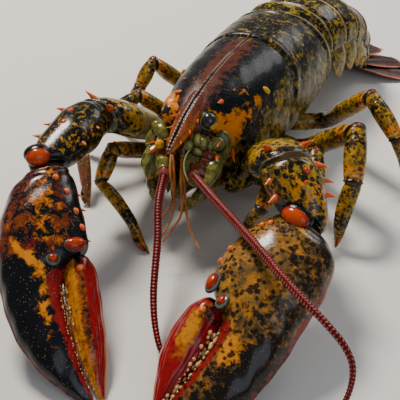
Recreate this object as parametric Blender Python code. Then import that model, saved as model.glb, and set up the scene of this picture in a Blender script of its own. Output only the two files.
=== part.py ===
"""American lobster, Homarus americanus: a still, life-size model on its feet.

The head points to -Y and +X is the animal's left. Sizes are in millimetres and
MM turns them into metres when a mesh is made.
"""
import math
import random

import bmesh
import bpy
from mathutils import Matrix, Vector

# Driving dimensions
MM = 0.001
GAP = 0.3
FLOOR_TRIM = 0.5
CARAPACE_LENGTH = 130.0
CARAPACE_HALF_WIDTH = 36.0
BELLY_HEIGHT = 9.0
ROSTRUM_TIP = Vector((0.0, -25.5, 57.0))
EYE_SPACING = 22.0
EYE_RADIUS = 4.5
EYE_HEIGHT = 66.0
CUTTER_LENGTH = 115.0
CRUSHER_LENGTH = 107.0
TAU = 2.0 * math.pi
SIDE_NAMES = ((-1, "r"), (1, "l"))


def linear(hexcode):
    """Linear colour of an sRGB hex code."""
    channels = [int(hexcode[k:k + 2], 16) / 255.0 for k in (0, 2, 4)]
    return [c / 12.92 if c <= 0.04045 else ((c + 0.055) / 1.055) ** 2.4 for c in channels] + [1.0]


def material(name, hexcode, roughness):
    """A plain surface with the part's own colour."""
    mat = bpy.data.materials.new(name)
    mat.use_nodes = True
    shader = mat.node_tree.nodes["Principled BSDF"]
    shader.inputs["Base Color"].default_value = linear(hexcode)
    shader.inputs["Roughness"].default_value = roughness
    shader.inputs["Metallic"].default_value = 0.0
    mat.diffuse_color = linear(hexcode)
    return mat


def largest_body(bm):
    """Keep only the closed surface that encloses the most."""
    bm.faces.ensure_lookup_table()
    seen = set()
    bodies = []
    for face in bm.faces:
        if face.index in seen:
            continue
        seen.add(face.index)
        body = []
        stack = [face]
        while stack:
            current = stack.pop()
            body.append(current)
            for edge in current.edges:
                for other in edge.link_faces:
                    if other.index not in seen:
                        seen.add(other.index)
                        stack.append(other)
        bodies.append(body)
    if len(bodies) < 2:
        return

    def volume(body):
        total = 0.0
        for part_face in body:
            corners = [v.co for v in part_face.verts]
            for a, b in zip(corners[1:], corners[2:]):
                total += corners[0].dot(a.cross(b))
        return abs(total)

    bodies.sort(key=volume)
    for body in bodies[:-1]:
        bmesh.ops.delete(bm, geom=body, context="FACES")
    loose = [v for v in bm.verts if not v.link_faces]
    bmesh.ops.delete(bm, geom=loose, context="VERTS")


def new_object(name, bm):
    """Put a bmesh, still in millimetres, into the scene as an object in metres."""
    bmesh.ops.recalc_face_normals(bm, faces=bm.faces[:])
    bmesh.ops.scale(bm, vec=(MM, MM, MM), verts=bm.verts[:])
    mesh = bpy.data.meshes.new(name)
    bm.to_mesh(mesh)
    bm.free()
    obj = bpy.data.objects.new(name, mesh)
    bpy.context.scene.collection.objects.link(obj)
    return obj


def copy_of(obj):
    twin = bpy.data.objects.new(obj.name, obj.data.copy())
    bpy.context.scene.collection.objects.link(twin)
    return twin


def is_closed(mesh):
    """True when every edge of the mesh has exactly two faces."""
    bm = bmesh.new()
    bm.from_mesh(mesh)
    closed = len(bm.faces) > 0 and all(len(e.link_faces) == 2 for e in bm.edges)
    bm.free()
    return closed


def boolean(target, pieces, operation):
    """Join or cut away a list of closed pieces in one step, then drop the pieces."""
    if not pieces:
        return target
    group = bpy.data.collections.new("pieces")
    bpy.context.scene.collection.children.link(group)
    for piece in pieces:
        bpy.context.scene.collection.objects.unlink(piece)
        group.objects.link(piece)
    before = target.data
    result = None
    for solver in ("EXACT", "MANIFOLD"):
        step = target.modifiers.new("join", "BOOLEAN")
        step.operation = operation
        step.operand_type = "COLLECTION"
        step.collection = group
        step.solver = solver
        if solver == "EXACT":
            step.use_self = True
        graph = bpy.context.evaluated_depsgraph_get()
        result = bpy.data.meshes.new_from_object(target.evaluated_get(graph))
        target.modifiers.clear()
        if is_closed(result):
            break
    target.data = result
    bpy.data.meshes.remove(before)
    for piece in pieces:
        bpy.data.objects.remove(piece)
    bpy.data.collections.remove(group)
    bm = bmesh.new()
    bm.from_mesh(target.data)
    largest_body(bm)
    bmesh.ops.remove_doubles(bm, verts=bm.verts[:], dist=2e-6)
    bmesh.ops.dissolve_degenerate(bm, edges=bm.edges[:], dist=1e-6)
    bm.to_mesh(target.data)
    bm.free()
    return target


def fuse(target, pieces):
    return boolean(target, pieces, "UNION")


def carve(target, cutters):
    return boolean(target, cutters, "DIFFERENCE")


def piece_name(name, grow):
    """A grown piece is only a cutter, so it leaves the node's name free."""
    return "cutter" if grow else name


def smooth_rows(rows, count):
    """Rows of numbers read along a smooth curve through the given rows."""
    last = len(rows) - 1
    out = []
    for k in range(count):
        t = k * last / (count - 1)
        i = min(int(t), last - 1)
        t -= i
        p1 = rows[i]
        p2 = rows[i + 1]
        p0 = rows[i - 1] if i > 0 else [2 * a - b for a, b in zip(p1, p2)]
        p3 = rows[i + 2] if i + 2 <= last else [2 * b - a for a, b in zip(p1, p2)]
        row = []
        for a, b, c, d in zip(p0, p1, p2, p3):
            row.append(0.5 * (2 * b + (c - a) * t + (2 * a - 5 * b + 4 * c - d) * t * t
                              + (3 * b - a - 3 * c + d) * t * t * t))
        out.append(row)
    return out


def signed_power(value, power):
    return math.copysign(abs(value) ** power, value)


def ring_points(centre, side, up, half_side, half_up, half_down, sides, squareness, boxy=None):
    """One closed section: a superellipse whose upper and lower halves differ."""
    points = []
    for k in range(sides):
        angle = TAU * (k + 0.5) / sides
        above = math.cos(angle) > 0
        power = 2.0 / (squareness if above or boxy is None else boxy)
        across = half_side * signed_power(math.sin(angle), power)
        rise = (half_up if above else half_down) * signed_power(math.cos(angle), power)
        points.append(centre + side * across + up * rise)
    return points


def skin_rings(rings, pointed_end=None):
    """A closed body through a row of rings, with a flat start and a flat or pointed end."""
    bm = bmesh.new()
    rows = [[bm.verts.new(p) for p in ring] for ring in rings]
    sides = len(rings[0])
    for a, b in zip(rows, rows[1:]):
        for k in range(sides):
            n = (k + 1) % sides
            bm.faces.new((a[k], a[n], b[n], b[k]))
    bm.faces.new(rows[0][::-1])
    if pointed_end is None:
        bm.faces.new(rows[-1])
    else:
        tip = bm.verts.new(pointed_end)
        for k in range(sides):
            bm.faces.new((rows[-1][k], rows[-1][(k + 1) % sides], tip))
    bmesh.ops.triangulate(bm, faces=[f for f in bm.faces if len(f.verts) == 4])
    return bm


def tube(name, rows, count, sides=10, up=(0, 0, 1), squareness=2.0, grow=0.0, tip=False,
         flat_start=None, flat_end=None):
    """A limb: rows of x, y, z, half width and half depth along its middle line.

    flat_start and flat_end give the plane normals of the end faces, so that two
    limbs that meet end in parallel faces. grow makes the larger cutter of the same
    limb that leaves the gap round it.
    """
    rows = smooth_rows(rows, count)
    centres = [Vector(r[:3]) for r in rows]
    rings = []
    for k, row in enumerate(rows):
        ahead = (centres[min(k + 1, count - 1)] - centres[max(k - 1, 0)]).normalized()
        for face, end_centre in ((flat_start, centres[0]), (flat_end, centres[-1])):
            if face is not None:
                share = 1.0 - (centres[k] - end_centre).length / (row[3] * 2.4)
                ahead = ahead.lerp(Vector(face).normalized(), max(0.0, share)).normalized()
        side = ahead.cross(Vector(up)).normalized()
        above = side.cross(ahead).normalized()
        centre = centres[k]
        if grow and k == 0:
            centre = centre - ahead * grow
        if grow and k == count - 1:
            centre = centre + ahead * grow
        rings.append(ring_points(centre, side, above, row[3] + grow, row[4] + grow,
                                 row[4] + grow, sides, squareness))
    end = None
    if tip:
        end = centres[-1] + (centres[-1] - centres[-2]).normalized() * (rows[-1][3] * 1.6 + grow)
    return new_object(piece_name(name, grow), skin_rings(rings, pointed_end=end))


def spine(root, direction, length, radius, sides=4):
    """A tapered thorn with its root sunk into the surface it stands on."""
    direction = Vector(direction).normalized()
    side = direction.orthogonal().normalized()
    up = direction.cross(side)
    start = Vector(root) - direction * (radius * 1.3 + 0.6)
    belly = Vector(root) + direction * (length * 0.35)
    rings = [ring_points(centre, side, up, half, half, half, sides, 2.0)
             for centre, half in ((start, radius), (belly, radius * 0.8))]
    return new_object("spine", skin_rings(rings, pointed_end=Vector(root) + direction * length))


def knob(centre, radius, flat=0.75, axis=(0, 0, 1), rounds=1):
    """A rounded tubercle, half sunk in the surface."""
    bm = bmesh.new()
    bmesh.ops.create_icosphere(bm, subdivisions=rounds, radius=radius)
    turn = Vector((0, 0, 1)).rotation_difference(Vector(axis).normalized()).to_matrix().to_4x4()
    shape = Matrix.Translation(Vector(centre)) @ turn @ Matrix.Diagonal((1, 1, flat, 1))
    bmesh.ops.transform(bm, matrix=shape, verts=bm.verts[:])
    return new_object("knob", bm)


def rest_on_floor(obj):
    """Trim what lies under the floor's level to one small flat face."""
    bm = bmesh.new()
    bm.from_mesh(obj.data)
    geom = bm.verts[:] + bm.edges[:] + bm.faces[:]
    cut = bmesh.ops.bisect_plane(bm, geom=geom, dist=1e-7, plane_co=(0, 0, 0), plane_no=(0, 0, -1),
                                 clear_outer=True)
    edges = [e for e in cut["geom_cut"] if isinstance(e, bmesh.types.BMEdge)]
    bmesh.ops.holes_fill(bm, edges=edges)
    bmesh.ops.recalc_face_normals(bm, faces=bm.faces[:])
    bm.to_mesh(obj.data)
    bm.free()
    return obj


# Carapace: rows of y as a share of its length, half width as a share of the largest,
# and the middle, top and bottom heights
CARAPACE_SHAPE = (
    (-0.054, 0.20, 57.0, 65.0, 47.0),
    (0.0, 0.40, 54.0, 70.0, 37.0),
    (0.077, 0.58, 50.0, 74.0, 29.0),
    (0.192, 0.75, 47.0, 77.5, 25.0),
    (0.346, 0.86, 44.0, 79.5, 22.5),
    (0.50, 0.93, 43.0, 79.5, 21.5),
    (0.562, 0.945, 43.0, 79.3, 21.0),
    (0.608, 0.917, 43.0, 77.5, 21.5),
    (0.654, 0.967, 43.0, 79.2, 21.0),
    (0.808, 1.0, 43.0, 79.0, 21.0),
    (0.938, 0.985, 44.0, 77.5, 23.0),
    (1.0, 0.945, 46.0, 75.5, 27.0),
)
CARAPACE_ROWS = [(y * CARAPACE_LENGTH, half * CARAPACE_HALF_WIDTH, middle, top, bottom)
                 for y, half, middle, top, bottom in CARAPACE_SHAPE]
CARAPACE_SIDES = 24
GROOVE_Y = 0.6 * CARAPACE_LENGTH
GROOVE_FORWARD = 16.0
GROOVE_REACH = 50.0
REAR_CURVE = 8.0
REAR_REACH = 20.0
LEAN_DEPTH = 34.0


def carapace_rings():
    """Sections of the shield; the ones beside the neck groove lean forward down the sides."""
    rings = []
    for y, half_width, middle, top, bottom in CARAPACE_ROWS:
        lean = GROOVE_FORWARD * max(0.0, 1.0 - abs(y - GROOVE_Y) / GROOVE_REACH)
        back = REAR_CURVE * max(0.0, (y - CARAPACE_LENGTH + REAR_REACH) / REAR_REACH)
        ring = ring_points(Vector((0, y, middle)), Vector((1, 0, 0)), Vector((0, 0, 1)), half_width,
                           top - middle, middle - bottom, CARAPACE_SIDES, 2.25, boxy=2.9)
        for point in ring:
            down = min(1.0, max(0.0, (top - point.z) / LEAN_DEPTH))
            point.y += (back - lean) * down ** 1.5
        rings.append(ring)
    return rings


def carapace_top(y, x=0.0):
    """Height of the shield above a place on the floor plan."""
    for a, b in zip(CARAPACE_ROWS, CARAPACE_ROWS[1:]):
        if y <= b[0]:
            break
    t = min(1.0, max(0.0, (y - a[0]) / (b[0] - a[0])))
    half_width, middle, top = (a[k] + (b[k] - a[k]) * t for k in (1, 2, 3))
    share = min(1.0, abs(x) / half_width)
    return middle + (top - middle) * (1.0 - share ** 2.25) ** (1.0 / 2.25)


def make_carapace():
    shield = new_object("carapace", skin_rings(carapace_rings()))
    rostrum_rows = ((0, 14, 71.0, 7.2, 4.5), (0, 2, 67.0, 6.6, 4.2), (0, -10, 62.6, 5.0, 3.6),
                    (0, -19, 59.2, 2.9, 2.5), tuple(ROSTRUM_TIP) + (0.9, 1.1))
    pieces = [tube("rostrum", rostrum_rows, 9, sides=8, squareness=2.6, tip=True)]
    for side, _ in SIDE_NAMES:
        for y, reach, length in ((-2.0, 5.0, 4.6), (-9.0, 4.2, 4.2), (-16.0, 2.8, 3.6)):
            z = 66.4 + (y + 2.0) * 0.42
            pieces.append(spine((side * reach, y, z), (side * 0.75, -1.0, 0.25), length, 1.5))
        for x, y, length in ((12.5, 13.0, 6.0), (14.5, 24.0, 4.5)):
            root = (side * x, y, carapace_top(y, x) - 0.5)
            pieces.append(spine(root, (side * 0.15, -1.0, 0.45), length, 1.6))
        pieces.append(spine((side * 17.5, -1.0, 56.0), (side * 0.25, -1.0, 0.0), 6.5, 2.0))
        pieces.append(spine((side * 18.5, 1.0, 47.0), (side * 0.35, -1.0, -0.1), 5.5, 1.8))
        pieces.append(knob((side * 27.5, 52.0, 64.5), 1.8, axis=(side, 0, 0.8)))
    return fuse(shield, pieces)


def thorax_rings(grow=0.0):
    rows = ((4.0, 9.0, 32.0, 19.0), (16.0, 14.0, 33.0, BELLY_HEIGHT + 4.0), (40.0, 18.0, 33.0, BELLY_HEIGHT),
            (80.0, 20.0, 33.0, BELLY_HEIGHT), (108.0, 18.0, 34.0, BELLY_HEIGHT + 3.0),
            (126.0, 13.0, 36.0, BELLY_HEIGHT + 11.0))
    rings = []
    for k, (y, half_width, top, bottom) in enumerate(rows):
        shift = grow * (-1 if k == 0 else 1 if k == len(rows) - 1 else 0)
        middle = (top + bottom) / 2
        half = (top - bottom) / 2 + grow
        rings.append(ring_points(Vector((0, y + shift, middle)), Vector((1, 0, 0)), Vector((0, 0, 1)),
                                 half_width + grow, half, half, 10, 3.2))
    return rings


# Abdomen: length, pitch and yaw of each of the six rings, then their half widths and heights
ABDOMEN_START = Vector((0.0, CARAPACE_LENGTH + 0.6, 52.0))
ABDOMEN_STEPS = ((12.0, 2.0, 8.0), (21.0, -2.0, 10.0), (20.0, -10.0, 12.0), (19.0, -25.0, 14.0),
                 (17.0, -43.0, 16.0), (19.0, -54.0, 18.0))
ABDOMEN_SECTIONS = ((30.0, 21.5, 14.0), (31.5, 23.0, 14.0), (31.5, 22.5, 13.0), (30.0, 20.5, 12.0),
                    (28.0, 18.0, 10.5), (25.0, 15.0, 9.0), (20.0, 8.5, 6.0))
ABDOMEN_SIDES = 22
PLEURON_DROPS = (0, 21.0, 19.5, 17.5, 15.0, 0)


def direction(pitch, yaw):
    """Unit vector that starts along +Y, is lifted by pitch and turned to +X by yaw, in degrees."""
    p = math.radians(pitch)
    a = math.radians(yaw)
    return Vector((math.sin(a) * math.cos(p), math.cos(a) * math.cos(p), math.sin(p)))


def abdomen_frames():
    """Centre, side, up and ahead at each of the seven planes between the rings."""
    heads = [direction(pitch, yaw) for _, pitch, yaw in ABDOMEN_STEPS]
    centres = [ABDOMEN_START.copy()]
    for (length, _, _), head in zip(ABDOMEN_STEPS, heads):
        centres.append(centres[-1] + head * length)
    frames = []
    for k, centre in enumerate(centres):
        before = heads[max(k - 1, 0)] if k else Vector((0, 1, 0))
        after = heads[min(k, 5)]
        ahead = (before + after).normalized()
        side = ahead.cross(Vector((0, 0, 1))).normalized()
        frames.append((centre, side, side.cross(ahead).normalized(), ahead))
    return frames


def abdomen_ring(frames, k, grow=0.0):
    """One ring of the abdomen, a little wider at its rear rim than at its front."""
    (c0, s0, u0, a0), (c1, s1, u1, a1) = frames[k], frames[k + 1]
    w0, h0, d0 = ABDOMEN_SECTIONS[k]
    w1, h1, d1 = ABDOMEN_SECTIONS[k + 1]
    start = c0 + a0 * (GAP / 2 - grow)
    end = c1 - a1 * (GAP / 2 - grow)
    rings = []
    for t, lift in ((0.0, -0.6), (0.25, 0.0), (0.65, 0.6), (1.0, 1.2)):
        side = s0.lerp(s1, t).normalized()
        up = u0.lerp(u1, t).normalized()
        rings.append(ring_points(start.lerp(end, t), side, up, w0 + (w1 - w0) * t + lift * 0.7 + grow,
                                 h0 + (h1 - h0) * t + lift + grow, d0 + (d1 - d0) * t + grow,
                                 ABDOMEN_SIDES, 2.3))
    return new_object(piece_name("abdomen_%d" % (k + 1), grow), skin_rings(rings))


def make_abdomen(frames):
    """Six rings, each with its side plates, and with swimmerets under the middle ones."""
    parts = []
    for k in range(6):
        (c0, s0, u0, a0), (c1, s1, u1, a1) = frames[k], frames[k + 1]
        w0, _, d0 = ABDOMEN_SECTIONS[k]
        w1 = ABDOMEN_SECTIONS[k + 1][0]
        body = abdomen_ring(frames, k)
        centre = c0.lerp(c1, 0.52)
        side = s0.lerp(s1, 0.5).normalized()
        up = u0.lerp(u1, 0.5).normalized()
        ahead = a0.lerp(a1, 0.5).normalized()
        width = (w0 + w1) / 2
        length = (c1 - c0).length
        pieces = []
        if k in (1, 2, 3, 4):
            drop = PLEURON_DROPS[k]
            for sign in (-1, 1):
                rows = []
                for out, fall, back, half in ((-4.0, -1.0, 0.0, 0.44), (0.5, 7.0, 0.3, 0.44),
                                              (2.5, drop * 0.7, 1.5, 0.33), (3.0, drop, 4.0, 0.07)):
                    place = centre + side * (sign * (width + out)) - up * fall + ahead * back
                    rows.append(tuple(place) + (half * length, 1.5 - fall / drop * 0.8))
                pieces.append(tube("pleuron", rows, 5, sides=7, up=side * sign, squareness=2.4))
        if k == 5:
            for sign in (-1, 1):
                root = c0.lerp(c1, 0.8) + side * (sign * (w1 - 1.0)) - up * 2.0
                pieces.append(spine(root, ahead + side * (0.35 * sign) - up * 0.3, 7.0, 2.6))
        if k in (1, 2, 3):
            for sign in (-1, 1):
                rows = []
                for fall, back, half in ((d0 - 3.0, 0.0, 2.5), (d0 + 4.0, 1.0, 4.5), (d0 + 10.0, 3.5, 3.0)):
                    place = centre + side * (sign * 12.0) - up * fall + ahead * back
                    rows.append(tuple(place) + (half, 1.2))
                pieces.append(tube("swimmeret", rows, 3, sides=6, up=ahead, tip=True))
        parts.append(fuse(body, pieces))
    return parts


def fan_plate(name, root, head, tilt, rows, thick, grow=0.0):
    """A flat tail plate: rows of distance and half width along its heading."""
    flat = Vector((0, 0, 1))
    side = head.cross(flat).normalized()
    slope = (head - flat * tilt).normalized()
    up = side.cross(slope).normalized()
    rings = []
    last = len(rows) - 1
    for k, (distance, half) in enumerate(rows):
        centre = root + slope * distance
        if grow and k in (0, last):
            centre = centre + slope * (grow if k else -grow)
        edge = thick * (0.5 if k < last else 0.34) + grow
        rings.append(ring_points(centre, side, up, half + grow, edge, edge, 12, 2.6))
    return new_object(piece_name(name, grow), skin_rings(rings))


TELSON_ROWS = ((-4.0, 11.0), (4.0, 13.5), (14.0, 14.5), (26.0, 14.0), (34.0, 12.0), (38.0, 8.0))
INNER_ROWS = ((-3.0, 4.5), (5.0, 7.0), (15.0, 10.5), (27.0, 12.0), (36.0, 10.5), (41.0, 6.0))
OUTER_ROWS = ((-3.0, 4.5), (5.0, 7.5), (15.0, 11.5), (27.0, 13.5), (37.0, 11.5), (43.0, 6.5))
FAN_THICKNESS = 1.6
FAN_LAYER = 2.8
FAN_REACH = 43.0
FAN_SPREADS = (20.0, 40.0)


def fan_parts(frames, grow=0.0):
    """The telson and the four uropods, spread like a fan in three layers."""
    end, side, up, ahead = frames[6]
    flat_head = Vector((ahead.x, ahead.y, 0)).normalized()
    parts = {}
    level = end.z + 1.6
    tilt = (level - 2 * FAN_LAYER + FLOOR_TRIM) / FAN_REACH
    root = Vector((end.x, end.y, level)) + flat_head * 1.5
    parts["telson"] = fan_plate("telson", root, flat_head, tilt, TELSON_ROWS, FAN_THICKNESS, grow)
    for sign, letter in SIDE_NAMES:
        for kind, spread, out, layer, rows in (("inner", FAN_SPREADS[0], 12.5, 1, INNER_ROWS),
                                               ("outer", FAN_SPREADS[1], 15.5, 2, OUTER_ROWS)):
            turn = Matrix.Rotation(math.radians(-spread * sign), 3, "Z")
            head = turn @ flat_head
            root = Vector((end.x, end.y, level - FAN_LAYER * layer)) + side * (sign * out) - flat_head * 2.0
            name = "uropod_%s_%s" % (kind, letter)
            parts[name] = fan_plate(name, root, head, tilt, rows, FAN_THICKNESS, grow)
    return parts


def eye_middle(side):
    return Vector((side * EYE_SPACING / 2, 0.0, EYE_HEIGHT))


def globe(side, grow=0.0):
    """One eye, or with grow the cutter for the cup that holds it."""
    bm = bmesh.new()
    bmesh.ops.create_uvsphere(bm, u_segments=12, v_segments=8, radius=EYE_RADIUS + grow)
    bmesh.ops.translate(bm, vec=eye_middle(side), verts=bm.verts[:])
    return new_object(piece_name("eye_" + ("r" if side < 0 else "l"), grow), bm)


def eyestalk(side, grow=0.0):
    """The short stalk in the notch beside the rostrum."""
    middle = eye_middle(side)
    outward = Vector((side * 0.75, -0.6, 0.25)).normalized()
    rows = (tuple(middle - outward * 11.0) + (2.6, 2.6), tuple(middle - outward * 5.5) + (3.0, 3.0),
            tuple(middle - outward * 1.2) + (4.1, 4.1))
    return tube("eyestalk_" + ("r" if side < 0 else "l"), rows, 4, sides=9, grow=grow)


# Feelers: middle lines as x, y, z and the half width
ANTENNA_R = ((-3.5, -22, 43, 2.2), (3.5, -42, 38.5, 2.1), (11.5, -58, 30, 1.95), (21.0, -80, 18, 1.75),
             (29.0, -93, 9.5, 1.5), (37.5, -101, 4.2, 1.3), (50.0, -104, 2.2, 1.1), (64.0, -100, 1.6, 0.9),
             (76.0, -95, 1.4, 0.6))
ANTENNA_L = ((11.9, -18.9, 44, 2.2), (30.0, -37, 49, 2.1), (46.4, -52, 52.5, 2.05), (65.7, -69, 55.5, 1.9),
             (83.0, -84, 57, 1.75), (97.5, -95, 57.5, 1.6), (108.5, -102, 56.5, 1.45),
             (117.0, -106, 52.5, 1.35),
             (121.6, -109, 46.0, 1.25), (122.0, -112, 34.5, 1.1), (118.0, -117, 22.0, 1.0),
             (111.0, -124, 11.0, 0.9), (100.0, -132, 4.0, 0.8), (84.0, -141, 1.4, 0.6))
ANTENNA_BASE_R = ((-12.0, 4, 49, 5.0, 5.0), (-11.0, -6, 48, 6.0, 5.5), (-8.0, -15, 46, 4.6, 4.4),
                  (-3.9, -21.5, 43.2, 3.1, 3.1))
ANTENNA_BASE_L = ((12.0, 4, 49, 5.0, 5.0), (14.0, -5, 48, 6.2, 5.6), (13.5, -13, 46, 4.6, 4.4),
                  (11.6, -18.6, 44.1, 3.1, 3.1))


ANTENNULE_HAIRS = {
    "l": (((2.8, -14.3, 50.4), (5.5, -21, 41), (9.7, -29, 27.5), (8.6, -36.7, 21.5), (6.1, -43.6, 16.5)),
          ((3.6, -14.3, 50.4), (7.0, -20.5, 41), (10.0, -25, 30), (16.1, -33, 22), (26.3, -41.6, 17.5))),
    "r": (((-2.8, -14.3, 50.4), (1.6, -21.5, 43), (2.6, -24, 32), (0.6, -30, 24), (-3.0, -36, 19)),
          ((-3.4, -14.3, 50.4), (0.6, -23.5, 44), (4.6, -27, 32), (5.0, -34, 22), (2.5, -44, 15))),
}


def antenna(letter, rows, grow=0.0):
    """The long whip; grow makes the cutter for the socket that it stands in."""
    return tube("antenna_" + letter, [row + (row[3],) for row in rows], 30, sides=6, tip=True, grow=grow)


def jaw(side, grow=0.0):
    """Third maxilliped, the leg-like outer mouthpart."""
    rows = ((side * 8.0, 10, 24, 4.2, 4.2), (side * 12.5, -2, 29, 4.4, 4.0), (side * 15.0, -12, 32, 4.0, 3.6),
            (side * 12.0, -20, 29, 2.9, 2.9), (side * 6.0, -25, 24, 1.5, 1.8))
    return tube("maxilliped_" + ("r" if side < 0 else "l"), rows, 9, sides=8, tip=True, grow=grow)


def antennule_rows(side):
    return ((side * 3.8, 0, 55, 2.6, 2.6), (side * 3.4, -8, 52.5, 2.2, 2.2), (side * 3.0, -15, 50, 1.6, 1.6))


def make_feelers():
    nodes = {}
    for letter, rows in (("r", ANTENNA_R), ("l", ANTENNA_L)):
        nodes["antenna_" + letter] = antenna(letter, rows)
    for side, letter, rows in ((-1, "r", ANTENNA_BASE_R), (1, "l", ANTENNA_BASE_L)):
        ahead = Vector(rows[-1][:3]) - Vector(rows[-2][:3])
        end = Vector(rows[-1][:3]) - ahead.normalized() * GAP
        rows = rows[:-1] + (tuple(end) + rows[-1][3:],)
        base = tube("antenna_base_" + letter, rows, 7, sides=9)
        root = Vector(rows[1][:3])
        scale_rows = ((root.x + side * 2.0, root.y + 1.0, root.z + 2.0, 3.0, 1.4),
                      (root.x + side * 5.0, root.y - 7.0, root.z + 0.5, 4.2, 1.2),
                      (root.x + side * 5.5, root.y - 14.0, root.z - 3.0, 3.0, 0.9),
                      (root.x + side * 4.5, root.y - 19.0, root.z - 5.5, 0.6, 0.5))
        pieces = [tube("scale", scale_rows, 6, sides=8, up=(0, -0.3, 1)),
                  spine((root.x + side * 5.0, root.y - 2.0, root.z + 2.5), (side * 0.5, -1, 0.2), 7.0, 1.6)]
        fuse(base, pieces)
        route = ANTENNA_R if side < 0 else ANTENNA_L
        nodes["antenna_base_" + letter] = carve(base, [antenna(letter, route, GAP)])
    for side, letter in SIDE_NAMES:
        base = tube("antennule_" + letter, antennule_rows(side), 5, sides=8)
        hairs = []
        for k, route in enumerate(ANTENNULE_HAIRS[letter]):
            rows = [(x, y, z, 0.9 - 0.13 * i, 0.9 - 0.13 * i) for i, (x, y, z) in enumerate(route)]
            hairs.append(tube("hair", rows, 8, sides=5, tip=True))
        nodes["antennule_" + letter] = fuse(base, hairs)
        nodes["maxilliped_" + letter] = jaw(side)
    return nodes


def claw_frame(claw):
    """Axis, inward side and upper side of a claw; roll is the inward side's rise."""
    axis = (claw["tip"] - claw["wrist"]).normalized()
    level = axis.cross(Vector((0, 0, 1))).normalized() * claw["sign"]
    above = level.cross(axis).normalized() * claw["sign"]
    roll = claw["roll"]
    inward = level * math.cos(roll) + above * math.sin(roll)
    above = above * math.cos(roll) - level * math.sin(roll)
    return axis, inward, above


def outer_side(line, sign):
    """Level direction square to a limb, on the side away from the body's middle plane."""
    side = line.cross(Vector((0, 0, 1))).normalized()
    return side if side.x * sign > 0 else -side


def claw_rows(claw, kind):
    """The rows of the palm or the dactyl in millimetres."""
    return [[value * claw["length"] / 100.0 for value in row] for row in claw[kind]]


def claw_body(claw, kind, frame, grow=0.0):
    """The palm or the dactyl without its teeth and spines."""
    axis, inward, above = frame
    wrist = claw["wrist"]
    sides, count = CLAW_RINGS[kind]
    rings = []
    smooth = smooth_rows(claw_rows(claw, kind), count)
    for k, (distance, outer, inner, half) in enumerate(smooth):
        shift = grow * (-1 if k == 0 else 1 if k == count - 1 else 0)
        centre = wrist + axis * (distance + shift) + inward * ((outer + inner) / 2)
        rings.append(ring_points(centre, inward, above, (inner - outer) / 2 + grow, half + grow,
                                 half + grow, sides, 2.2))
    distance, outer, inner, half = smooth[-1]
    end = wrist + axis * (distance + half + grow) + inward * ((outer + inner) / 2 + half * 0.3)
    return new_object(piece_name(kind + "_" + claw["letter"], grow), skin_rings(rings, pointed_end=end))


# Claws: rows of distance from the wrist, outer edge, inner edge and half thickness,
# in hundredths of the claw's length
CUTTER_PALM = ((0.9, -7.8, 7.4, 7.0), (7.8, -16.5, 9.6, 9.1), (19.5, -22.4, 9.8, 10.9),
               (31.0, -26.0, 9.8, 10.9), (39.5, -27.2, 8.6, 10.4), (45.5, -27.2, 0.5, 9.4),
               (52.0, -27.0, -4.6, 8.7), (61.0, -26.4, -5.5, 7.9), (71.3, -23.9, -5.2, 7.0),
               (84.3, -17.8, -4.0, 5.2), (93.9, -10.0, -2.4, 3.3), (98.3, -5.7, -1.7, 1.7))
CUTTER_DACTYL = ((42.0, -0.9, 6.6, 4.3), (45.0, -2.3, 8.8, 6.5), (52.5, -2.8, 9.4, 7.3),
                 (64.0, -3.3, 8.9, 6.8), (76.5, -2.8, 7.7, 5.7), (88.7, -1.4, 5.4, 4.0),
                 (97.4, 0.5, 3.1, 1.9))
CRUSHER_PALM = ((0.9, -12.6, 8.9, 8.4), (7.5, -21.8, 14.0, 11.7), (18.5, -25.2, 17.6, 14.0),
                (30.5, -26.2, 18.6, 15.0), (40.0, -26.6, 17.0, 14.4), (47.5, -26.9, 12.0, 13.2),
                (54.0, -27.2, 2.0, 11.8), (60.5, -27.1, -1.4, 10.6), (68.0, -26.5, -2.0, 9.5),
                (76.0, -25.2, -2.1, 8.3), (86.0, -20.1, -1.5, 6.2), (94.4, -11.2, -0.6, 3.7),
                (98.1, -6.5, -0.9, 2.1))
CRUSHER_DACTYL = ((49.5, 4.4, 12.0, 5.2), (53.0, 3.0, 15.0, 8.0), (60.0, 2.0, 17.4, 9.2),
                  (70.0, 1.0, 17.4, 8.8), (80.4, 0.9, 14.6, 7.1), (90.7, 1.6, 9.0, 4.7),
                  (97.2, 2.6, 5.2, 2.2))

CLAW_RINGS = dict(palm=(14, 12), dactyl=(10, 8))
FINE_ROWS = 80

TUBERCLE_RADIUS = 1.9
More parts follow.
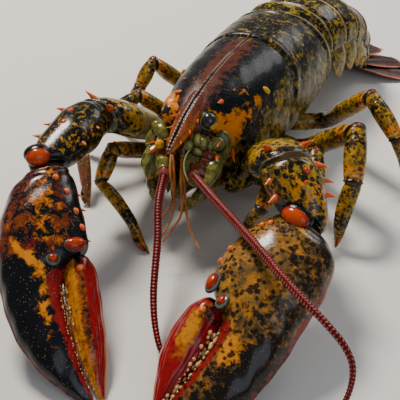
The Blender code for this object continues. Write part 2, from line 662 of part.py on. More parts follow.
# Each claw's joint points. The knobs at its finger's hinge: distance and place across in hundredths
# of the claw's length, share of the half thickness, and radius. Tubercles: distance and place across
# in mm. Margin spines: distance in mm.
CUTTER = dict(letter="r", sign=-1, wrist=Vector((-46.0, -61.0, 57.0)), tip=Vector((23.0, -134.0, 0.2)),
              length=CUTTER_LENGTH, roll=0.0, palm=CUTTER_PALM, dactyl=CUTTER_DACTYL, teeth=(10, 0.9, 1.0),
              hinge_knobs=((39.5, 3.6, 0.9, 3.6), (43.5, -5.8, 0.9, 2.3)), margin_spines=(24.0, 40.0),
              tubercles=((10.5, 1.9), (18.5, 5.6), (28.5, 7.8), (36.4, 9.0)),
              elbow=Vector((-48.0, -15.5, 62.0)), shoulder=Vector((-34.0, 20.0, 41.0)),
              hip=Vector((-14.0, 18.0, 18.0)), girth=(13.0, 11.0))
CRUSHER = dict(letter="l", sign=1, wrist=Vector((75.0, -35.0, 46.0)), tip=Vector((50.5, -128.0, 2.2)),
               length=CRUSHER_LENGTH, roll=0.15, palm=CRUSHER_PALM, dactyl=CRUSHER_DACTYL,
               teeth=(7, 1.1, 1.9),
               hinge_knobs=((45.0, 12.6, 0.6, 3.6), (50.5, 4.0, 0.9, 2.6)), margin_spines=(20.0, 26.0),
               tubercles=((11.5, 8.2), (14.0, 11.0), (30.5, 17.0), (37.0, 18.0)),
               elbow=Vector((60.0, -17.0, 63.0)), shoulder=Vector((34.0, 16.0, 41.0)),
               hip=Vector((14.0, 18.0, 18.0)), girth=(15.0, 13.0))


def row_near(rows, distance):
    return min(rows, key=lambda row: abs(row[0] - distance))


def make_palm_and_dactyl(claw, frame, rng):
    """The hand with its fixed finger, and the movable finger hinged on its inner side."""
    axis, inward, above = frame
    wrist = claw["wrist"]
    palm = claw_body(claw, "palm", frame)
    dactyl = claw_body(claw, "dactyl", frame)
    palm_rows = smooth_rows(claw_rows(claw, "palm"), FINE_ROWS)
    dactyl_rows = smooth_rows(claw_rows(claw, "dactyl"), FINE_ROWS)
    palm_pieces = []
    dactyl_pieces = []

    def place(distance, across, rise):
        return wrist + axis * distance + inward * across + above * rise

    count, height, radius = claw["teeth"]
    first = claw_rows(claw, "dactyl")[2][0]
    step = (dactyl_rows[-1][0] - 5.0 - first) / count
    for k in range(count):
        size = radius * (0.75 + 0.5 * rng.random()) * (1.15 - 0.5 * k / count)
        at = first + step * (k + 0.3)
        root = place(at, row_near(palm_rows, at)[2] - 0.2, 0)
        palm_pieces.append(spine(root, inward, height, size))
        at = first + step * (k + 0.8)
        root = place(at, row_near(dactyl_rows, at)[1] + 0.2, 0)
        dactyl_pieces.append(spine(root, -inward, height, size))
    for at, across in claw["tubercles"]:
        row = row_near(palm_rows, at)
        middle, half_width = (row[1] + row[2]) / 2, (row[2] - row[1]) / 2
        beside = min(0.97, abs(across - middle) / half_width)
        rise = row[3] * (1.0 - beside ** 2.2) ** (1.0 / 2.2)
        palm_pieces.append(knob(place(at, across, rise), TUBERCLE_RADIUS, axis=above + inward * 0.8))
    for at in claw["margin_spines"]:
        edge = row_near(palm_rows, at)
        lean = (inward + axis * 0.3).normalized()
        spot = place(at, edge[2] * 0.93, -edge[3] * 0.1) - lean
        palm_pieces.append(spine(spot, lean, 3.6 + rng.random(), 1.8))
    share = claw["length"] / 100.0
    for at, across, rise, size in claw["hinge_knobs"]:
        spot = place(at * share, across * share, row_near(palm_rows, at * share)[3] * rise)
        palm_pieces.append(knob(spot, size, axis=above + inward * 0.4, rounds=2))
    hinge = claw_rows(claw, "dactyl")[1]
    spot = place(hinge[0] + 9.0, hinge[2] * 0.9, hinge[3] * 0.55)
    dactyl_pieces.append(knob(spot, 2.4, axis=inward + above))
    carve(fuse(palm, palm_pieces), [claw_body(claw, "dactyl", frame, GAP)])
    return [palm, fuse(dactyl, dactyl_pieces)]


CARPUS_BEND = Vector((0, 0, 2.5))


def carpus_body(claw, axis, grow=0.0):
    """The wrist piece without its spines."""
    wrist, elbow = claw["wrist"], claw["elbow"]
    wide, deep = claw["girth"]
    span = wrist - elbow
    bend = CARPUS_BEND
    rows = (tuple(elbow) + (wide * 0.7, deep * 0.8),
            tuple(elbow + span * 0.2 + bend) + (wide * 0.92, deep * 0.95),
            tuple(elbow + span * 0.55 + bend) + (wide, deep),
            tuple(elbow + span * 0.88 + bend * 0.5) + (wide * 0.92, deep * 0.86),
            tuple(wrist + axis * (1.0 - GAP)) + (wide * 0.66, deep * 0.7))
    return tube("carpus_" + claw["letter"], rows, 8, sides=12, squareness=2.2, flat_start=span,
                flat_end=axis, grow=grow)


def make_carpus(claw, frame):
    """The wrist piece with its spines and the large red knob over the joint."""
    axis, _, above = frame
    wrist, elbow, sign = claw["wrist"], claw["elbow"], claw["sign"]
    wide, deep = claw["girth"]
    span = wrist - elbow
    bend = CARPUS_BEND
    carpus = carpus_body(claw, axis)
    outward = outer_side(span, sign)
    upward = outward.cross(span).normalized()
    if upward.z < 0:
        upward = -upward
    pieces = []
    for along, spread, rise, length in ((0.2, 0.9, 0.45, 6.5), (0.42, 1.0, 0.2, 7.5), (0.68, 0.95, 0.3, 7.0),
                                        (0.35, -0.9, 0.4, 4.0), (0.65, -0.92, 0.4, 4.0)):
        lean = outward * spread + upward * rise
        spot = elbow + span * along + bend + outward * (wide * spread * 0.88) + upward * (deep * rise * 0.88)
        pieces.append(spine(spot, lean + span.normalized() * 0.35, length, 2.0))
    for along, spread in ((0.35, 0.25), (0.55, 0.1)):
        spot = elbow + span * along + bend + outward * (wide * spread) + upward * (deep * 0.95)
        pieces.append(knob(spot, 2.3, axis=upward))
    pieces.append(knob(wrist - axis * 4.5 + above * (deep * 0.62), 5.4, axis=above - axis * 0.4, rounds=2))
    fuse(carpus, pieces)
    return carve(carpus, [claw_body(claw, "palm", frame, GAP)])


def make_arm(claw, frame):
    """Merus and ischium, which carry the claw up and forward from the body."""
    elbow, shoulder, hip, sign = claw["elbow"], claw["shoulder"], claw["hip"], claw["sign"]
    wide, deep = claw["girth"]
    span = (claw["wrist"] - elbow).normalized()
    back = elbow - shoulder
    heading = back.normalized()
    arch = Vector((0, 0, 2.0))
    rows = (tuple(shoulder) + (8.0, 7.5), tuple(shoulder + back * 0.3 + arch * 0.5) + (10.5, 9.0),
            tuple(shoulder + back * 0.7 + arch) + (wide, deep * 0.95),
            tuple(elbow - span * GAP) + (wide * 0.74, deep * 0.84))
    merus, grown_merus = (tube("merus_" + claw["letter"], rows, 8, sides=12, squareness=2.3,
                               flat_start=heading, flat_end=span, grow=grow) for grow in (0.0, GAP))
    outward = outer_side(back, sign)
    pieces = []
    for along, spread, rise, length in ((0.82, 0.8, 0.6, 6.5), (0.88, -0.7, 0.7, 5.0),
                                        (0.55, -0.75, 0.6, 4.0)):
        spot = shoulder + back * along + outward * (wide * spread * 0.85) + Vector((0, 0, deep * rise + 1.5))
        pieces.append(spine(spot, outward * spread + Vector((0, 0, rise)) + heading * 0.6, length, 2.2))
    fuse(merus, pieces)
    carve(merus, [carpus_body(claw, frame[0], GAP)])
    rows = (tuple(hip) + (8.0, 7.5), tuple(hip.lerp(shoulder, 0.5) + Vector((sign * 3.0, 0, 0))) + (8.5, 7.5),
            tuple(shoulder - heading * GAP) + (7.6, 7.0))
    name = "ischium_" + claw["letter"]
    ischium, grown = (tube(name, rows, 6, sides=10, flat_end=heading, grow=grow) for grow in (0.0, GAP))
    carve(ischium, [grown_merus])
    return [ischium, merus], grown


# Walking legs: hip, knee, ankle and foot, then half thickness and whether it ends in a small pincer
LEGS = (
    ("leg2_r", (-15, 37, 15), (-37, 32, 17), (-42, -10, 40), (-42, -24, 27), (-5, -38), 5.0, True),
    ("leg3_r", (-16, 55, 15), (-40, 48, 16), (-62, 28, 40), (-73, 4, 27), (-57, -17), 5.4, True),
    ("leg4_r", (-16, 76, 15), (-40, 68, 16), (-60, 50, 40), (-77, 36, 26), (-91, 30), 5.4, False),
    ("leg5_r", (-15, 98, 16), (-40, 104, 16), (-65, 78, 49), (-69, 66, 36), (-80, 61), 5.4, False),
    ("leg2_l", (15, 37, 15), (37, 31, 16), (45, 7, 32), (45, -8, 26), (34, -4), 5.0, True),
    ("leg3_l", (16, 55, 15), (40, 50, 16), (60, 30, 42), (68, 12, 30), (64, 0), 5.4, True),
    ("leg4_l", (16, 76, 15), (40, 70, 18), (77, 45, 53), (84, 22, 35), (82, 10), 6.4, False),
    ("leg5_l", (15, 98, 16), (40, 110, 17), (73, 88, 52), (94, 76, 35), (104, 76), 5.8, False),
)


def leg_nodes(name, hip, rise, knee, ankle, foot, thick, pincer):
    """Upper leg, carpus and foot, which meet in parallel faces at the joints."""
    hip, rise, knee, ankle = (Vector(p) for p in (hip, rise, knee, ankle))
    foot = Vector(foot + (-FLOOR_TRIM,))
    cut_knee = ((knee - rise).normalized() + (ankle - knee).normalized()).normalized()
    cut_ankle = ((ankle - knee).normalized() + (foot - ankle).normalized()).normalized()
    rows = (tuple(hip) + (thick * 1.05, thick), tuple(rise) + (thick * 0.9, thick * 0.95),
            tuple(rise.lerp(knee, 0.5)) + (thick * 1.12, thick * 0.95),
            tuple(rise.lerp(knee, 0.88)) + (thick * 1.08, thick * 0.95),
            tuple(knee - cut_knee * GAP / 2) + (thick * 0.86, thick * 0.82))
    upper, grown = (tube(name + "_upper", rows, 8, sides=8, flat_end=cut_knee, grow=grow)
                    for grow in (0.0, GAP))
    spike = rise.lerp(knee, 0.93) + Vector((0, 0, thick * 0.8))
    fuse(upper, [spine(spike, (knee - rise).normalized() + Vector((0, 0, 0.8)), 3.2, 1.5)])
    rows = (tuple(knee + cut_knee * GAP / 2) + (thick * 0.84, thick * 0.8),
            tuple(knee.lerp(ankle, 0.5) + Vector((0, 0, 1.0))) + (thick * 0.95, thick * 0.85),
            tuple(ankle - cut_ankle * GAP / 2) + (thick * 0.78, thick * 0.7))
    middle = tube(name + "_carpus", rows, 5, sides=8, flat_start=cut_knee, flat_end=cut_ankle)
    down = foot - ankle
    bow = Vector((0, 0, 1)).cross(down).cross(down).normalized() * (-0.06 * down.length)
    tip_start = 0.6
    rows = (tuple(ankle + cut_ankle * GAP / 2) + (thick * 0.74, thick * 0.68),
            tuple(ankle + down * 0.3 + bow) + (thick * 0.74, thick * 0.62),
            tuple(ankle + down * tip_start + bow) + (thick * 0.6, thick * 0.5),
            tuple(ankle + down * 0.82) + (thick * 0.36, thick * 0.32),
            tuple(foot) + (1.0, 1.0))
    shank = tube(name + "_foot", rows, 8, sides=8, flat_start=cut_ankle, tip=True)
    if pincer:
        across = down.cross(Vector((0, 0, 1))).normalized() * (thick * 0.3)
        start = ankle + down * tip_start
        rows = (tuple(start) + (thick * 0.3, thick * 0.3),
                tuple(ankle + down * 0.8 + across * 1.5) + (1.7, 1.5),
                tuple(ankle + down * 0.95 + across * 1.1) + (0.8, 0.8))
        fuse(shank, [tube("finger", rows, 5, sides=6, tip=True)])
    rest_on_floor(shank)
    return [upper, middle, shank], grown


def stand_on_origin(objects):
    """Move the finished animal so that the origin is under the middle of its box, on the floor."""
    points = [vertex.co for obj in objects for vertex in obj.data.vertices]
    lowest = Vector([min(point[k] for point in points) for k in range(3)])
    highest = Vector([max(point[k] for point in points) for k in range(3)])
    shift = Vector((-(lowest.x + highest.x) / 2, -(lowest.y + highest.y) / 2, -lowest.z))
    for obj in objects:
        obj.data.transform(Matrix.Translation(shift))


def finish(objects, look):
    """Give each node its material and round shading."""
    for obj in objects:
        obj.data.materials.clear()
        obj.data.materials.append(look(obj.name))
        obj.data.shade_smooth()
        obj.data.set_sharp_from_angle(angle=math.radians(50))


COLOURS = (
    ("carapace", "3A2A1C", 0.3), ("thorax", "6B4A2C", 0.5), ("abdomen", "4B4426", 0.32),
    ("telson", "5A4630", 0.35), ("uropod", "5E4432", 0.35), ("eyestalk", "6E6A2E", 0.4),
    ("eye", "0D0F12", 0.08), ("antenna_base", "7A7F3B", 0.35), ("antennule", "B9844C", 0.45),
    ("antenna", "5E1418", 0.35), ("maxilliped", "7A6A34", 0.4), ("ischium", "7C7038", 0.35),
    ("merus", "8C8440", 0.3), ("carpus", "A07A34", 0.3), ("palm", "6A3418", 0.3),
    ("dactyl", "7C1F14", 0.28), ("leg", "8A7A34", 0.35),
)


def look_for():
    made = {}
    for name, hexcode, roughness in COLOURS:
        made[name] = material(name + "_shell", hexcode, roughness)

    def pick(node):
        for name, _, _ in COLOURS:
            if node.startswith(name):
                return made[name]
        return made["carapace"]
    return pick


def main():
    for obj in list(bpy.data.objects):
        bpy.data.objects.remove(obj)
    rng = random.Random(7)
    frames = abdomen_frames()
    objects = []
    carapace_cuts = [new_object("cutter", skin_rings(thorax_rings(GAP)))]
    thorax_cuts = []
    carapace_cuts += [abdomen_ring(frames, k, GAP) for k in (0, 1)]

    abdomen = make_abdomen(frames)
    carve(abdomen[5], list(fan_parts(frames, GAP).values()))
    fan = fan_parts(frames)
    objects += abdomen + [fan[name] for name in sorted(fan)]
    for name in ("uropod_outer_l", "uropod_outer_r"):
        rest_on_floor(fan[name])

    for side, _ in SIDE_NAMES:
        objects += [carve(eyestalk(side), [globe(side, GAP)]), globe(side)]
        carapace_cuts += [eyestalk(side, GAP), globe(side, 0.8), jaw(side, GAP)]
        carapace_cuts.append(tube("cutter", antennule_rows(side), 5, sides=8, grow=GAP))
        base_rows = ANTENNA_BASE_R if side < 0 else ANTENNA_BASE_L
        carapace_cuts.append(tube("cutter", base_rows, 7, sides=9, grow=GAP))
        thorax_cuts.append(jaw(side, GAP))
    feelers = make_feelers()
    objects += [feelers[name] for name in sorted(feelers)]

    for claw in (CUTTER, CRUSHER):
        frame = claw_frame(claw)
        arm, grown = make_arm(claw, frame)
        palm, dactyl = make_palm_and_dactyl(claw, frame, rng)
        objects += arm + [make_carpus(claw, frame), rest_on_floor(palm), dactyl]
        thorax_cuts.append(grown)
        carapace_cuts.append(copy_of(grown))
    for leg in LEGS:
        nodes, grown = leg_nodes(*leg)
        objects += nodes
        thorax_cuts.append(grown)
    objects.append(carve(make_carapace(), carapace_cuts))
    objects.append(carve(new_object("thorax_underside", skin_rings(thorax_rings())), thorax_cuts))
    stand_on_origin(objects)
    finish(objects, look_for())


main()
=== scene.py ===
"""Looks of the american lobster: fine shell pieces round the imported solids, finishes, light and camera.

Shapes are worked out in millimetres in the animal's own frame: the head points to -Y, the eyes are at
y = 0, +X is its left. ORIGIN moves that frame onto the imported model.
"""
import math
import random

import bmesh
import bpy
import numpy as np
from mathutils import Matrix, Vector


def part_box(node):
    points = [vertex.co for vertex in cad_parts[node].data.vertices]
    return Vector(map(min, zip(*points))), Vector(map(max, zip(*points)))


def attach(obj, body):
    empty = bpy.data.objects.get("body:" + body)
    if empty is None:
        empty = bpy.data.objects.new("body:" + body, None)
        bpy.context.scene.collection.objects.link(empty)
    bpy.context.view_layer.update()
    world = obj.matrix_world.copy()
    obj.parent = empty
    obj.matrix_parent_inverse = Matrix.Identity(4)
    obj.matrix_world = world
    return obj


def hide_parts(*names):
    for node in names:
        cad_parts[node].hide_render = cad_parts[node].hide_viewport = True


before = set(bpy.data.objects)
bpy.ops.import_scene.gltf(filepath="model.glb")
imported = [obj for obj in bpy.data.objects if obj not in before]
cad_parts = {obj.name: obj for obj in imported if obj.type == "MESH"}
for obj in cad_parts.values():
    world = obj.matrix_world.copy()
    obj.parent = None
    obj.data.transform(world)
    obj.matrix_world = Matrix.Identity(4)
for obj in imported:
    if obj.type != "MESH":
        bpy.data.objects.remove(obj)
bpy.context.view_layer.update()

MM = 0.001
TAU = 2.0 * math.pi
TINY = 1e-6
# Distances in metres below which points are welded and slivers dissolved
WELD = 2e-6
SLIVER = 1e-7
EYE_PLACE = (11.0, 0.0, 66.0)
EYE_LOW, EYE_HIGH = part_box("eye_l")
ORIGIN = np.array((EYE_LOW + EYE_HIGH) / 2) - np.array(EYE_PLACE) * MM
SIDE_NAMES = ((-1, "r"), (1, "l"))
RNG = random.Random(11)


# Small helpers for numbers
def vec(*values):
    return np.array(values, float)


def unit(v):
    v = np.asarray(v, float)
    return v / np.maximum(np.linalg.norm(v, axis=-1, keepdims=True), 1e-9)


def bump(distance, width):
    """A smooth hill of height 1 at distance 0."""
    return np.exp(-(np.asarray(distance, float) / width) ** 2)


def rise(value, low, high):
    """0 below low, 1 above high, smooth between."""
    t = np.clip((np.asarray(value, float) - low) / (high - low), 0.0, 1.0)
    return t * t * (3.0 - 2.0 * t)


def near(points, place, radius):
    """1 at a place, falling smoothly round it."""
    return bump(np.linalg.norm(points - vec(*place), axis=1), radius)


def from_edge(u):
    """Share of the way round from a flat piece's nearer side edge."""
    return np.minimum(np.abs(u - 0.25), np.abs(u - 0.75))


def read_rows(rows, w):
    """Values read along a smooth curve through the rows, for w from 0 to 1."""
    rows = np.asarray(rows, float)
    last = len(rows) - 1
    t = np.clip(w, 0.0, 1.0) * last
    i = np.minimum(t.astype(int), last - 1)
    t = (t - i)[:, None]
    padded = np.vstack((2 * rows[0] - rows[1], rows, 2 * rows[-1] - rows[-2]))
    a, b, c, d = (padded[i + k] for k in range(4))
    return 0.5 * (2 * b + (c - a) * t + (2 * a - 5 * b + 4 * c - d) * t * t
                  + (3 * b - a - 3 * c + d) * t ** 3)


def power(value, exponent):
    return np.sign(value) * np.abs(value) ** exponent


def paint(dark=0.0, amber=0.0, red=0.0, pale=0.0):
    """The four marks of a piece, each a number or one value per point."""
    return dark, amber, red, pale


def put(name, data):
    """A new object in the scene."""
    made = bpy.data.objects.new(name, data)
    bpy.context.scene.collection.objects.link(made)
    return made


# Surfaces: a grid rolled up by a function of u round the piece and w along it
def flat_grid(name, round_count, long_count, size=1.0):
    """A flat grid, with each vertex's u and w for one that is to be rolled up."""
    bm = bmesh.new()
    bmesh.ops.create_grid(bm, x_segments=round_count, y_segments=long_count, size=size)
    mesh = bpy.data.meshes.new(name)
    bm.to_mesh(mesh)
    bm.free()
    flat = np.zeros(len(mesh.vertices) * 3)
    mesh.vertices.foreach_get("co", flat)
    flat = flat.reshape(-1, 3)
    return mesh, (flat[:, 0] + 1.0) / 2.0, (flat[:, 1] + 1.0) / 2.0


def painted(marks, points, u, w):
    """Dark, amber, red and pale shares at each point, all 0 for a piece without marks."""
    if marks is None:
        return np.zeros((len(points), 4))
    shares = [np.broadcast_to(np.asarray(mark, float), u.shape) for mark in marks(points, u, w)]
    return np.clip(np.stack(shares, axis=1), 0.0, 1.0)


def rolled(name, shape, round_count, long_count, look, marks, node=None):
    """A closed piece from a grid; shape gives its points in mm, marks its four marks."""
    mesh, u, w = flat_grid(name, round_count, long_count)
    points = shape(u, w)
    colours = painted(marks, points, u, w)
    layer = mesh.attributes.new("marks", "FLOAT_COLOR", "POINT")
    layer.data.foreach_set("color", colours.astype(np.float32).ravel())
    mesh.vertices.foreach_set("co", (points * MM + ORIGIN).astype(np.float32).ravel())
    finish_mesh(name, mesh, look, node)


def joined(name, shapes, round_count, long_count, look, marks, slot):
    """Many small rolled shapes, such as thorns, knobs and hairs, in one piece."""
    grid, u, w = flat_grid("grid", round_count, long_count)
    whole = bmesh.new()
    whole.verts.layers.float_color.new("marks")
    for shape in shapes:
        points = shape(u, w)
        colours = painted(marks, points, u, w)
        single = bmesh.new()
        single.from_mesh(grid)
        layer = single.verts.layers.float_color.new("marks")
        for vertex, point, colour in zip(single.verts, points * MM + ORIGIN, colours):
            vertex.co = point
            vertex[layer] = colour
        bmesh.ops.remove_doubles(single, verts=single.verts[:], dist=WELD)
        one = bpy.data.meshes.new("one")
        single.to_mesh(one)
        single.free()
        whole.from_mesh(one)
        bpy.data.meshes.remove(one)
    bpy.data.meshes.remove(grid)
    mesh = bpy.data.meshes.new(name)
    whole.to_mesh(mesh)
    whole.free()
    finish_mesh(name, mesh, look)


def finish_mesh(name, mesh, look, node=None):
    """Weld the seams, turn the faces outwards and let the piece ride on the body."""
    bm = bmesh.new()
    bm.from_mesh(mesh)
    bmesh.ops.remove_doubles(bm, verts=bm.verts[:], dist=WELD)
    bmesh.ops.dissolve_degenerate(bm, edges=bm.edges[:], dist=SLIVER)
    bmesh.ops.recalc_face_normals(bm, faces=bm.faces[:])
    for face in bm.faces:
        face.smooth = True
    bm.to_mesh(mesh)
    bm.free()
    mesh.materials.append(look)
    piece = put(name, mesh)
    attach(piece, "root")
    if node:
        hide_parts(node)


# A hair is a thorn with few faces
HAIR_GRID = (4, 4)


# Share of the width at the first rings of a flat end, and the rings that a round or pointed end takes
FLAT_END = (0.0, 0.90, 0.97)
END_RINGS = {"round": 6.0, "point": 5.0}


def end_profile(w, long_count, start, end):
    """Share of the full width near the ends of a limb, so that it closes flat, round or pointed."""
    share = np.ones_like(w)
    ring = np.rint(w * long_count)
    for kind, k in ((start, ring), (end, long_count - ring)):
        if kind == "flat":
            share = share * np.select((k < 0.5, k < 1.5, k < 2.5), FLAT_END, 1.0)
        else:
            reach = END_RINGS[kind]
            dome = np.sqrt(np.clip(1.0 - (1.0 - k / reach) ** 2, 0.0, 1.0))
            share = share * np.where(k < reach, dome, 1.0)
    return share


# Steps in which a limb's middle line is followed, and how many half widths a slanted cut reaches in
ROUTE_STEPS = 240
CUT_REACH = 2.4


def limb(rows, long_count, up=(0, 0, 1), square=2.0, start="round", end="round", flat_start=None,
         flat_end=None, relief=None):
    """Shape of a limb with rows of x, y, z, half width and half depth.

    The half depth points to up, and square is the fullness of the section, 2 for an ellipse. flat_start
    and flat_end are the ways that an end's cut faces. relief adds to both halves, in mm.
    """
    fine = np.linspace(0.0, 1.0, ROUTE_STEPS)
    route = read_rows(rows, fine)
    centres, widths = route[:, :3], route[:, 3]
    ahead = unit(np.gradient(centres, axis=0))
    for normal, end_centre in ((flat_start, centres[0]), (flat_end, centres[-1])):
        if normal is not None:
            share = 1.0 - np.linalg.norm(centres - end_centre, axis=1) / (widths * CUT_REACH)
            share = np.clip(share, 0.0, 1.0)[:, None]
            ahead = unit(ahead * (1.0 - share) + unit(normal) * share)
    side = unit(np.cross(ahead, np.asarray(up, float)))
    above = unit(np.cross(side, ahead))

    def shape(u, w):
        here = read_rows(rows, w)
        across, lift = (unit(np.stack([np.interp(w, fine, axis[:, k]) for k in range(3)], axis=1))
                        for axis in (side, above))
        angle = TAU * u
        share = end_profile(w, long_count, start, end)
        extra = 0.0 if relief is None else relief(u, w, here) * np.minimum(1.0, share * 1.2)
        wide = power(np.sin(angle), 2.0 / square) * (here[:, 3] * share + extra)
        high = power(np.cos(angle), 2.0 / square) * (here[:, 4] * share + extra)
        return here[:, :3] + across * wide[:, None] + lift * high[:, None]
    return shape


def limb_piece(name, rows, round_count, long_count, look, marks, slot, node=None, **form):
    """A rolled piece along one smooth middle line; form is handed to limb."""
    rolled(name, limb(rows, long_count, **form), round_count, long_count, look, marks, node)


def thorn(root, lean, length, radius, curve=(0, 0, 0)):
    """A tapered spine with a swollen root, bent a little towards curve."""
    root, lean, curve = np.asarray(root, float), unit(lean), np.asarray(curve, float)
    side = unit(np.cross(lean, vec(0.31, 0.17, 0.93)))
    up = np.cross(side, lean)
    sunk = radius * 0.8

    def shape(u, w):
        along = -sunk + (length + sunk) * w
        half = radius * (1.0 - rise(w, 0.0, 1.0) * 0.55) * np.sqrt(np.clip(1.0 - w, 0.0, 1.0)) * 1.02
        half = np.where(w < TINY, 0.0, half)
        bend = curve * (np.clip(along, 0, None) ** 2 / length)[:, None]
        centre = root + lean * along[:, None] + bend
        return centre + side * (np.sin(TAU * u) * half)[:, None] + up * (np.cos(TAU * u) * half)[:, None]
    return shape


def ball(centre, axis, radius, flat=0.7, stretch=1.0, along=(0.31, 0.93, 0.17)):
    """A rounded knob: radius across, flat times that high, stretch times as long one way."""
    centre, axis, along = np.asarray(centre, float), unit(axis), np.asarray(along, float)
    side = unit(along - axis * float(np.dot(along, axis)))
    up = np.cross(axis, side)

    def shape(u, w):
        fall = math.pi * w
        ring = np.where((w < TINY) | (w > 1 - TINY), 0.0, np.sin(fall) * radius)
        return (centre + axis * (np.cos(fall) * radius * flat)[:, None]
                + side * (np.sin(TAU * u) * ring * stretch)[:, None] + up * (np.cos(TAU * u) * ring)[:, None])
    return shape


# Materials
# Real pits and grit are 0.1 to 0.3 mm across, too fine to show, so both are drawn about 1 mm wide
GRIT_SIZE = 0.9
PITS_PER_MM = 0.9
FLECKS_PER_MM = 0.75
PIT_DEPTH = 0.0004


def linear(hexcode):
    """Linear colour of an sRGB hex code."""
    channels = [int(hexcode[k:k + 2], 16) / 255.0 for k in (0, 2, 4)]
    return [c / 12.92 if c <= 0.04045 else ((c + 0.055) / 1.055) ** 2.4 for c in channels] + [1.0]


def fill(tree, node, inputs):
    """Set or link a node's inputs; a node given as a value is linked by its first output."""
    for key, value in inputs.items():
        if isinstance(value, bpy.types.Node):
            value = value.outputs[0]
        if isinstance(value, bpy.types.NodeSocket):
            tree.links.new(value, node.inputs[key])
        else:
            node.inputs[key].default_value = value


def add(tree, kind, inputs, **settings):
    """Add a node with its settings, values and links."""
    made = tree.nodes.new(kind)
    for key, value in settings.items():
        setattr(made, key, value)
    fill(tree, made, inputs)
    return made


def blank(name):
    """A new material with only its shader and output."""
    mat = bpy.data.materials.new(name)
    mat.use_nodes = True
    tree = mat.node_tree
    return mat, tree, tree.nodes["Principled BSDF"]


def shell_look(name, base, second, dark="0B0D12", amber="C4741C", red="7E1D12", pale="D8C9A6", blotch=9.0,
               dark_grain=3.0, spots=0.0, spot_size=4.5, edge=5.0, specks=0.25, gloss=0.2, rough_skin=0.2,
               glint=0.24):
    """Chitin hardened with chalk, grown in layers: mottled pigment under a clear, wet-looking skin.

    base and second lie in blotches. The marks painted on the mesh say where dark, amber, red and pale
    pigment gathers, or where painted shade and painted highlights fall; noise breaks their edges.
    blotch, dark_grain and spot_size are in millimetres.
    edge is how hard the dark marks end, spots and specks are shares of round dark spots and pale flecks,
    gloss is the roughness, rough_skin the strength of the pits, and glint the skin's mirror share.
    """
    mat, tree, shader = blank(name)
    place = add(tree, "ShaderNodeTexCoord", {}).outputs["Object"]
    mm = add(tree, "ShaderNodeMapping", {"Vector": place, "Scale": (1000.0, 1000.0, 1000.0)})
    marks = add(tree, "ShaderNodeAttribute", {}, attribute_name="marks")
    split = add(tree, "ShaderNodeSeparateColor", {"Color": marks.outputs["Color"]})
    clouds = {}
    for kind, size, detail, rough, shift in (
            ("blotch", blotch, 5.0, 0.6, 0.0), ("streak", blotch * 0.5, 6.0, 0.65, 77.0),
            ("grain", dark_grain, 6.0, 0.65, 31.0), ("grit", GRIT_SIZE, 3.0, 0.6, 13.0),
            ("patch", spot_size * 1.9, 3.0, 0.6, 53.0)):
        if kind == "patch" and not spots:
            continue
        moved = add(tree, "ShaderNodeMapping", {"Vector": mm, "Location": (shift, shift * 0.7, -shift)})
        clouds[kind] = add(tree, "ShaderNodeTexNoise", {"Vector": moved, "Scale": 1.0 / size,
                                                        "Detail": detail, "Roughness": rough,
                                                        "Distortion": 0.4})

    def lay(over, pattern, low, high, tint, strength=1.0):
        """Lay a pigment over a colour where a pattern goes from low to high."""
        share = add(tree, "ShaderNodeMapRange", {"Value": pattern, "From Min": low, "From Max": high,
                                                 "To Max": strength}, interpolation_type="SMOOTHSTEP")
        return add(tree, "ShaderNodeMix", {0: share, 6: over, 7: linear(tint)}, data_type="RGBA").outputs[2]

    colour = lay(linear(base), clouds["blotch"], 0.38, 0.62, second)
    for mask, kind, hardness, tint in (("Green", "streak", 2.4, amber), ("Blue", "blotch", 1.6, red),
                                       ("Red", "grain", edge * 0.6, dark)):
        wavy = add(tree, "ShaderNodeMath", {0: clouds[kind], 1: 1.9, 2: -0.95}, operation="MULTIPLY_ADD")
        total = add(tree, "ShaderNodeMath", {0: split.outputs[mask], 1: wavy}, operation="ADD")
        colour = lay(colour, total, 0.5 - 0.5 / hardness, 0.5 + 0.5 / hardness, tint)
    if spots:
        cells = add(tree, "ShaderNodeTexVoronoi", {"Vector": mm, "Scale": 1.0 / spot_size,
                                                   "Randomness": 0.85})
        for kind, reach in (("grit", 0.22), ("patch", -1.5)):
            wavy = add(tree, "ShaderNodeMath", {0: clouds[kind], 1: reach, 2: -0.5 * reach},
                       operation="MULTIPLY_ADD")
            cells = add(tree, "ShaderNodeMath", {0: cells, 1: wavy}, operation="ADD")
        colour = lay(colour, cells, 0.47, 0.28, dark, spots)
    if specks:
        flecks = add(tree, "ShaderNodeTexVoronoi", {"Vector": mm, "Scale": FLECKS_PER_MM, "Randomness": 1.0})
        colour = lay(colour, flecks, 0.17, 0.09, pale, specks)
    colour = add(tree, "ShaderNodeMix", {0: marks.outputs["Alpha"], 6: colour, 7: linear(pale)},
                 data_type="RGBA").outputs[2]
    light = add(tree, "ShaderNodeMapRange", {"Value": clouds["grit"], "To Min": 0.72, "To Max": 1.25})
    skin = add(tree, "ShaderNodeHueSaturation", {"Color": colour, "Value": light})
    rough = add(tree, "ShaderNodeMapRange", {"Value": clouds["grain"], "To Min": gloss * 0.6,
                                             "To Max": gloss * 1.4})
    pits = add(tree, "ShaderNodeTexVoronoi", {"Vector": mm, "Scale": PITS_PER_MM})
    pits = add(tree, "ShaderNodeMapRange", {"Value": pits, "From Min": 0.0, "From Max": 0.28},
               interpolation_type="SMOOTHSTEP")
    height = add(tree, "ShaderNodeMath", {0: pits, 1: clouds["grit"]}, operation="ADD")
    bumps = add(tree, "ShaderNodeBump", {"Height": height, "Strength": rough_skin, "Distance": PIT_DEPTH})
    fill(tree, shader, {"Base Color": skin, "Roughness": rough, "Normal": bumps, "IOR": 1.5,
                        "Specular IOR Level": glint, "Coat Weight": glint * 0.6, "Coat Roughness": 0.05})
    return mat
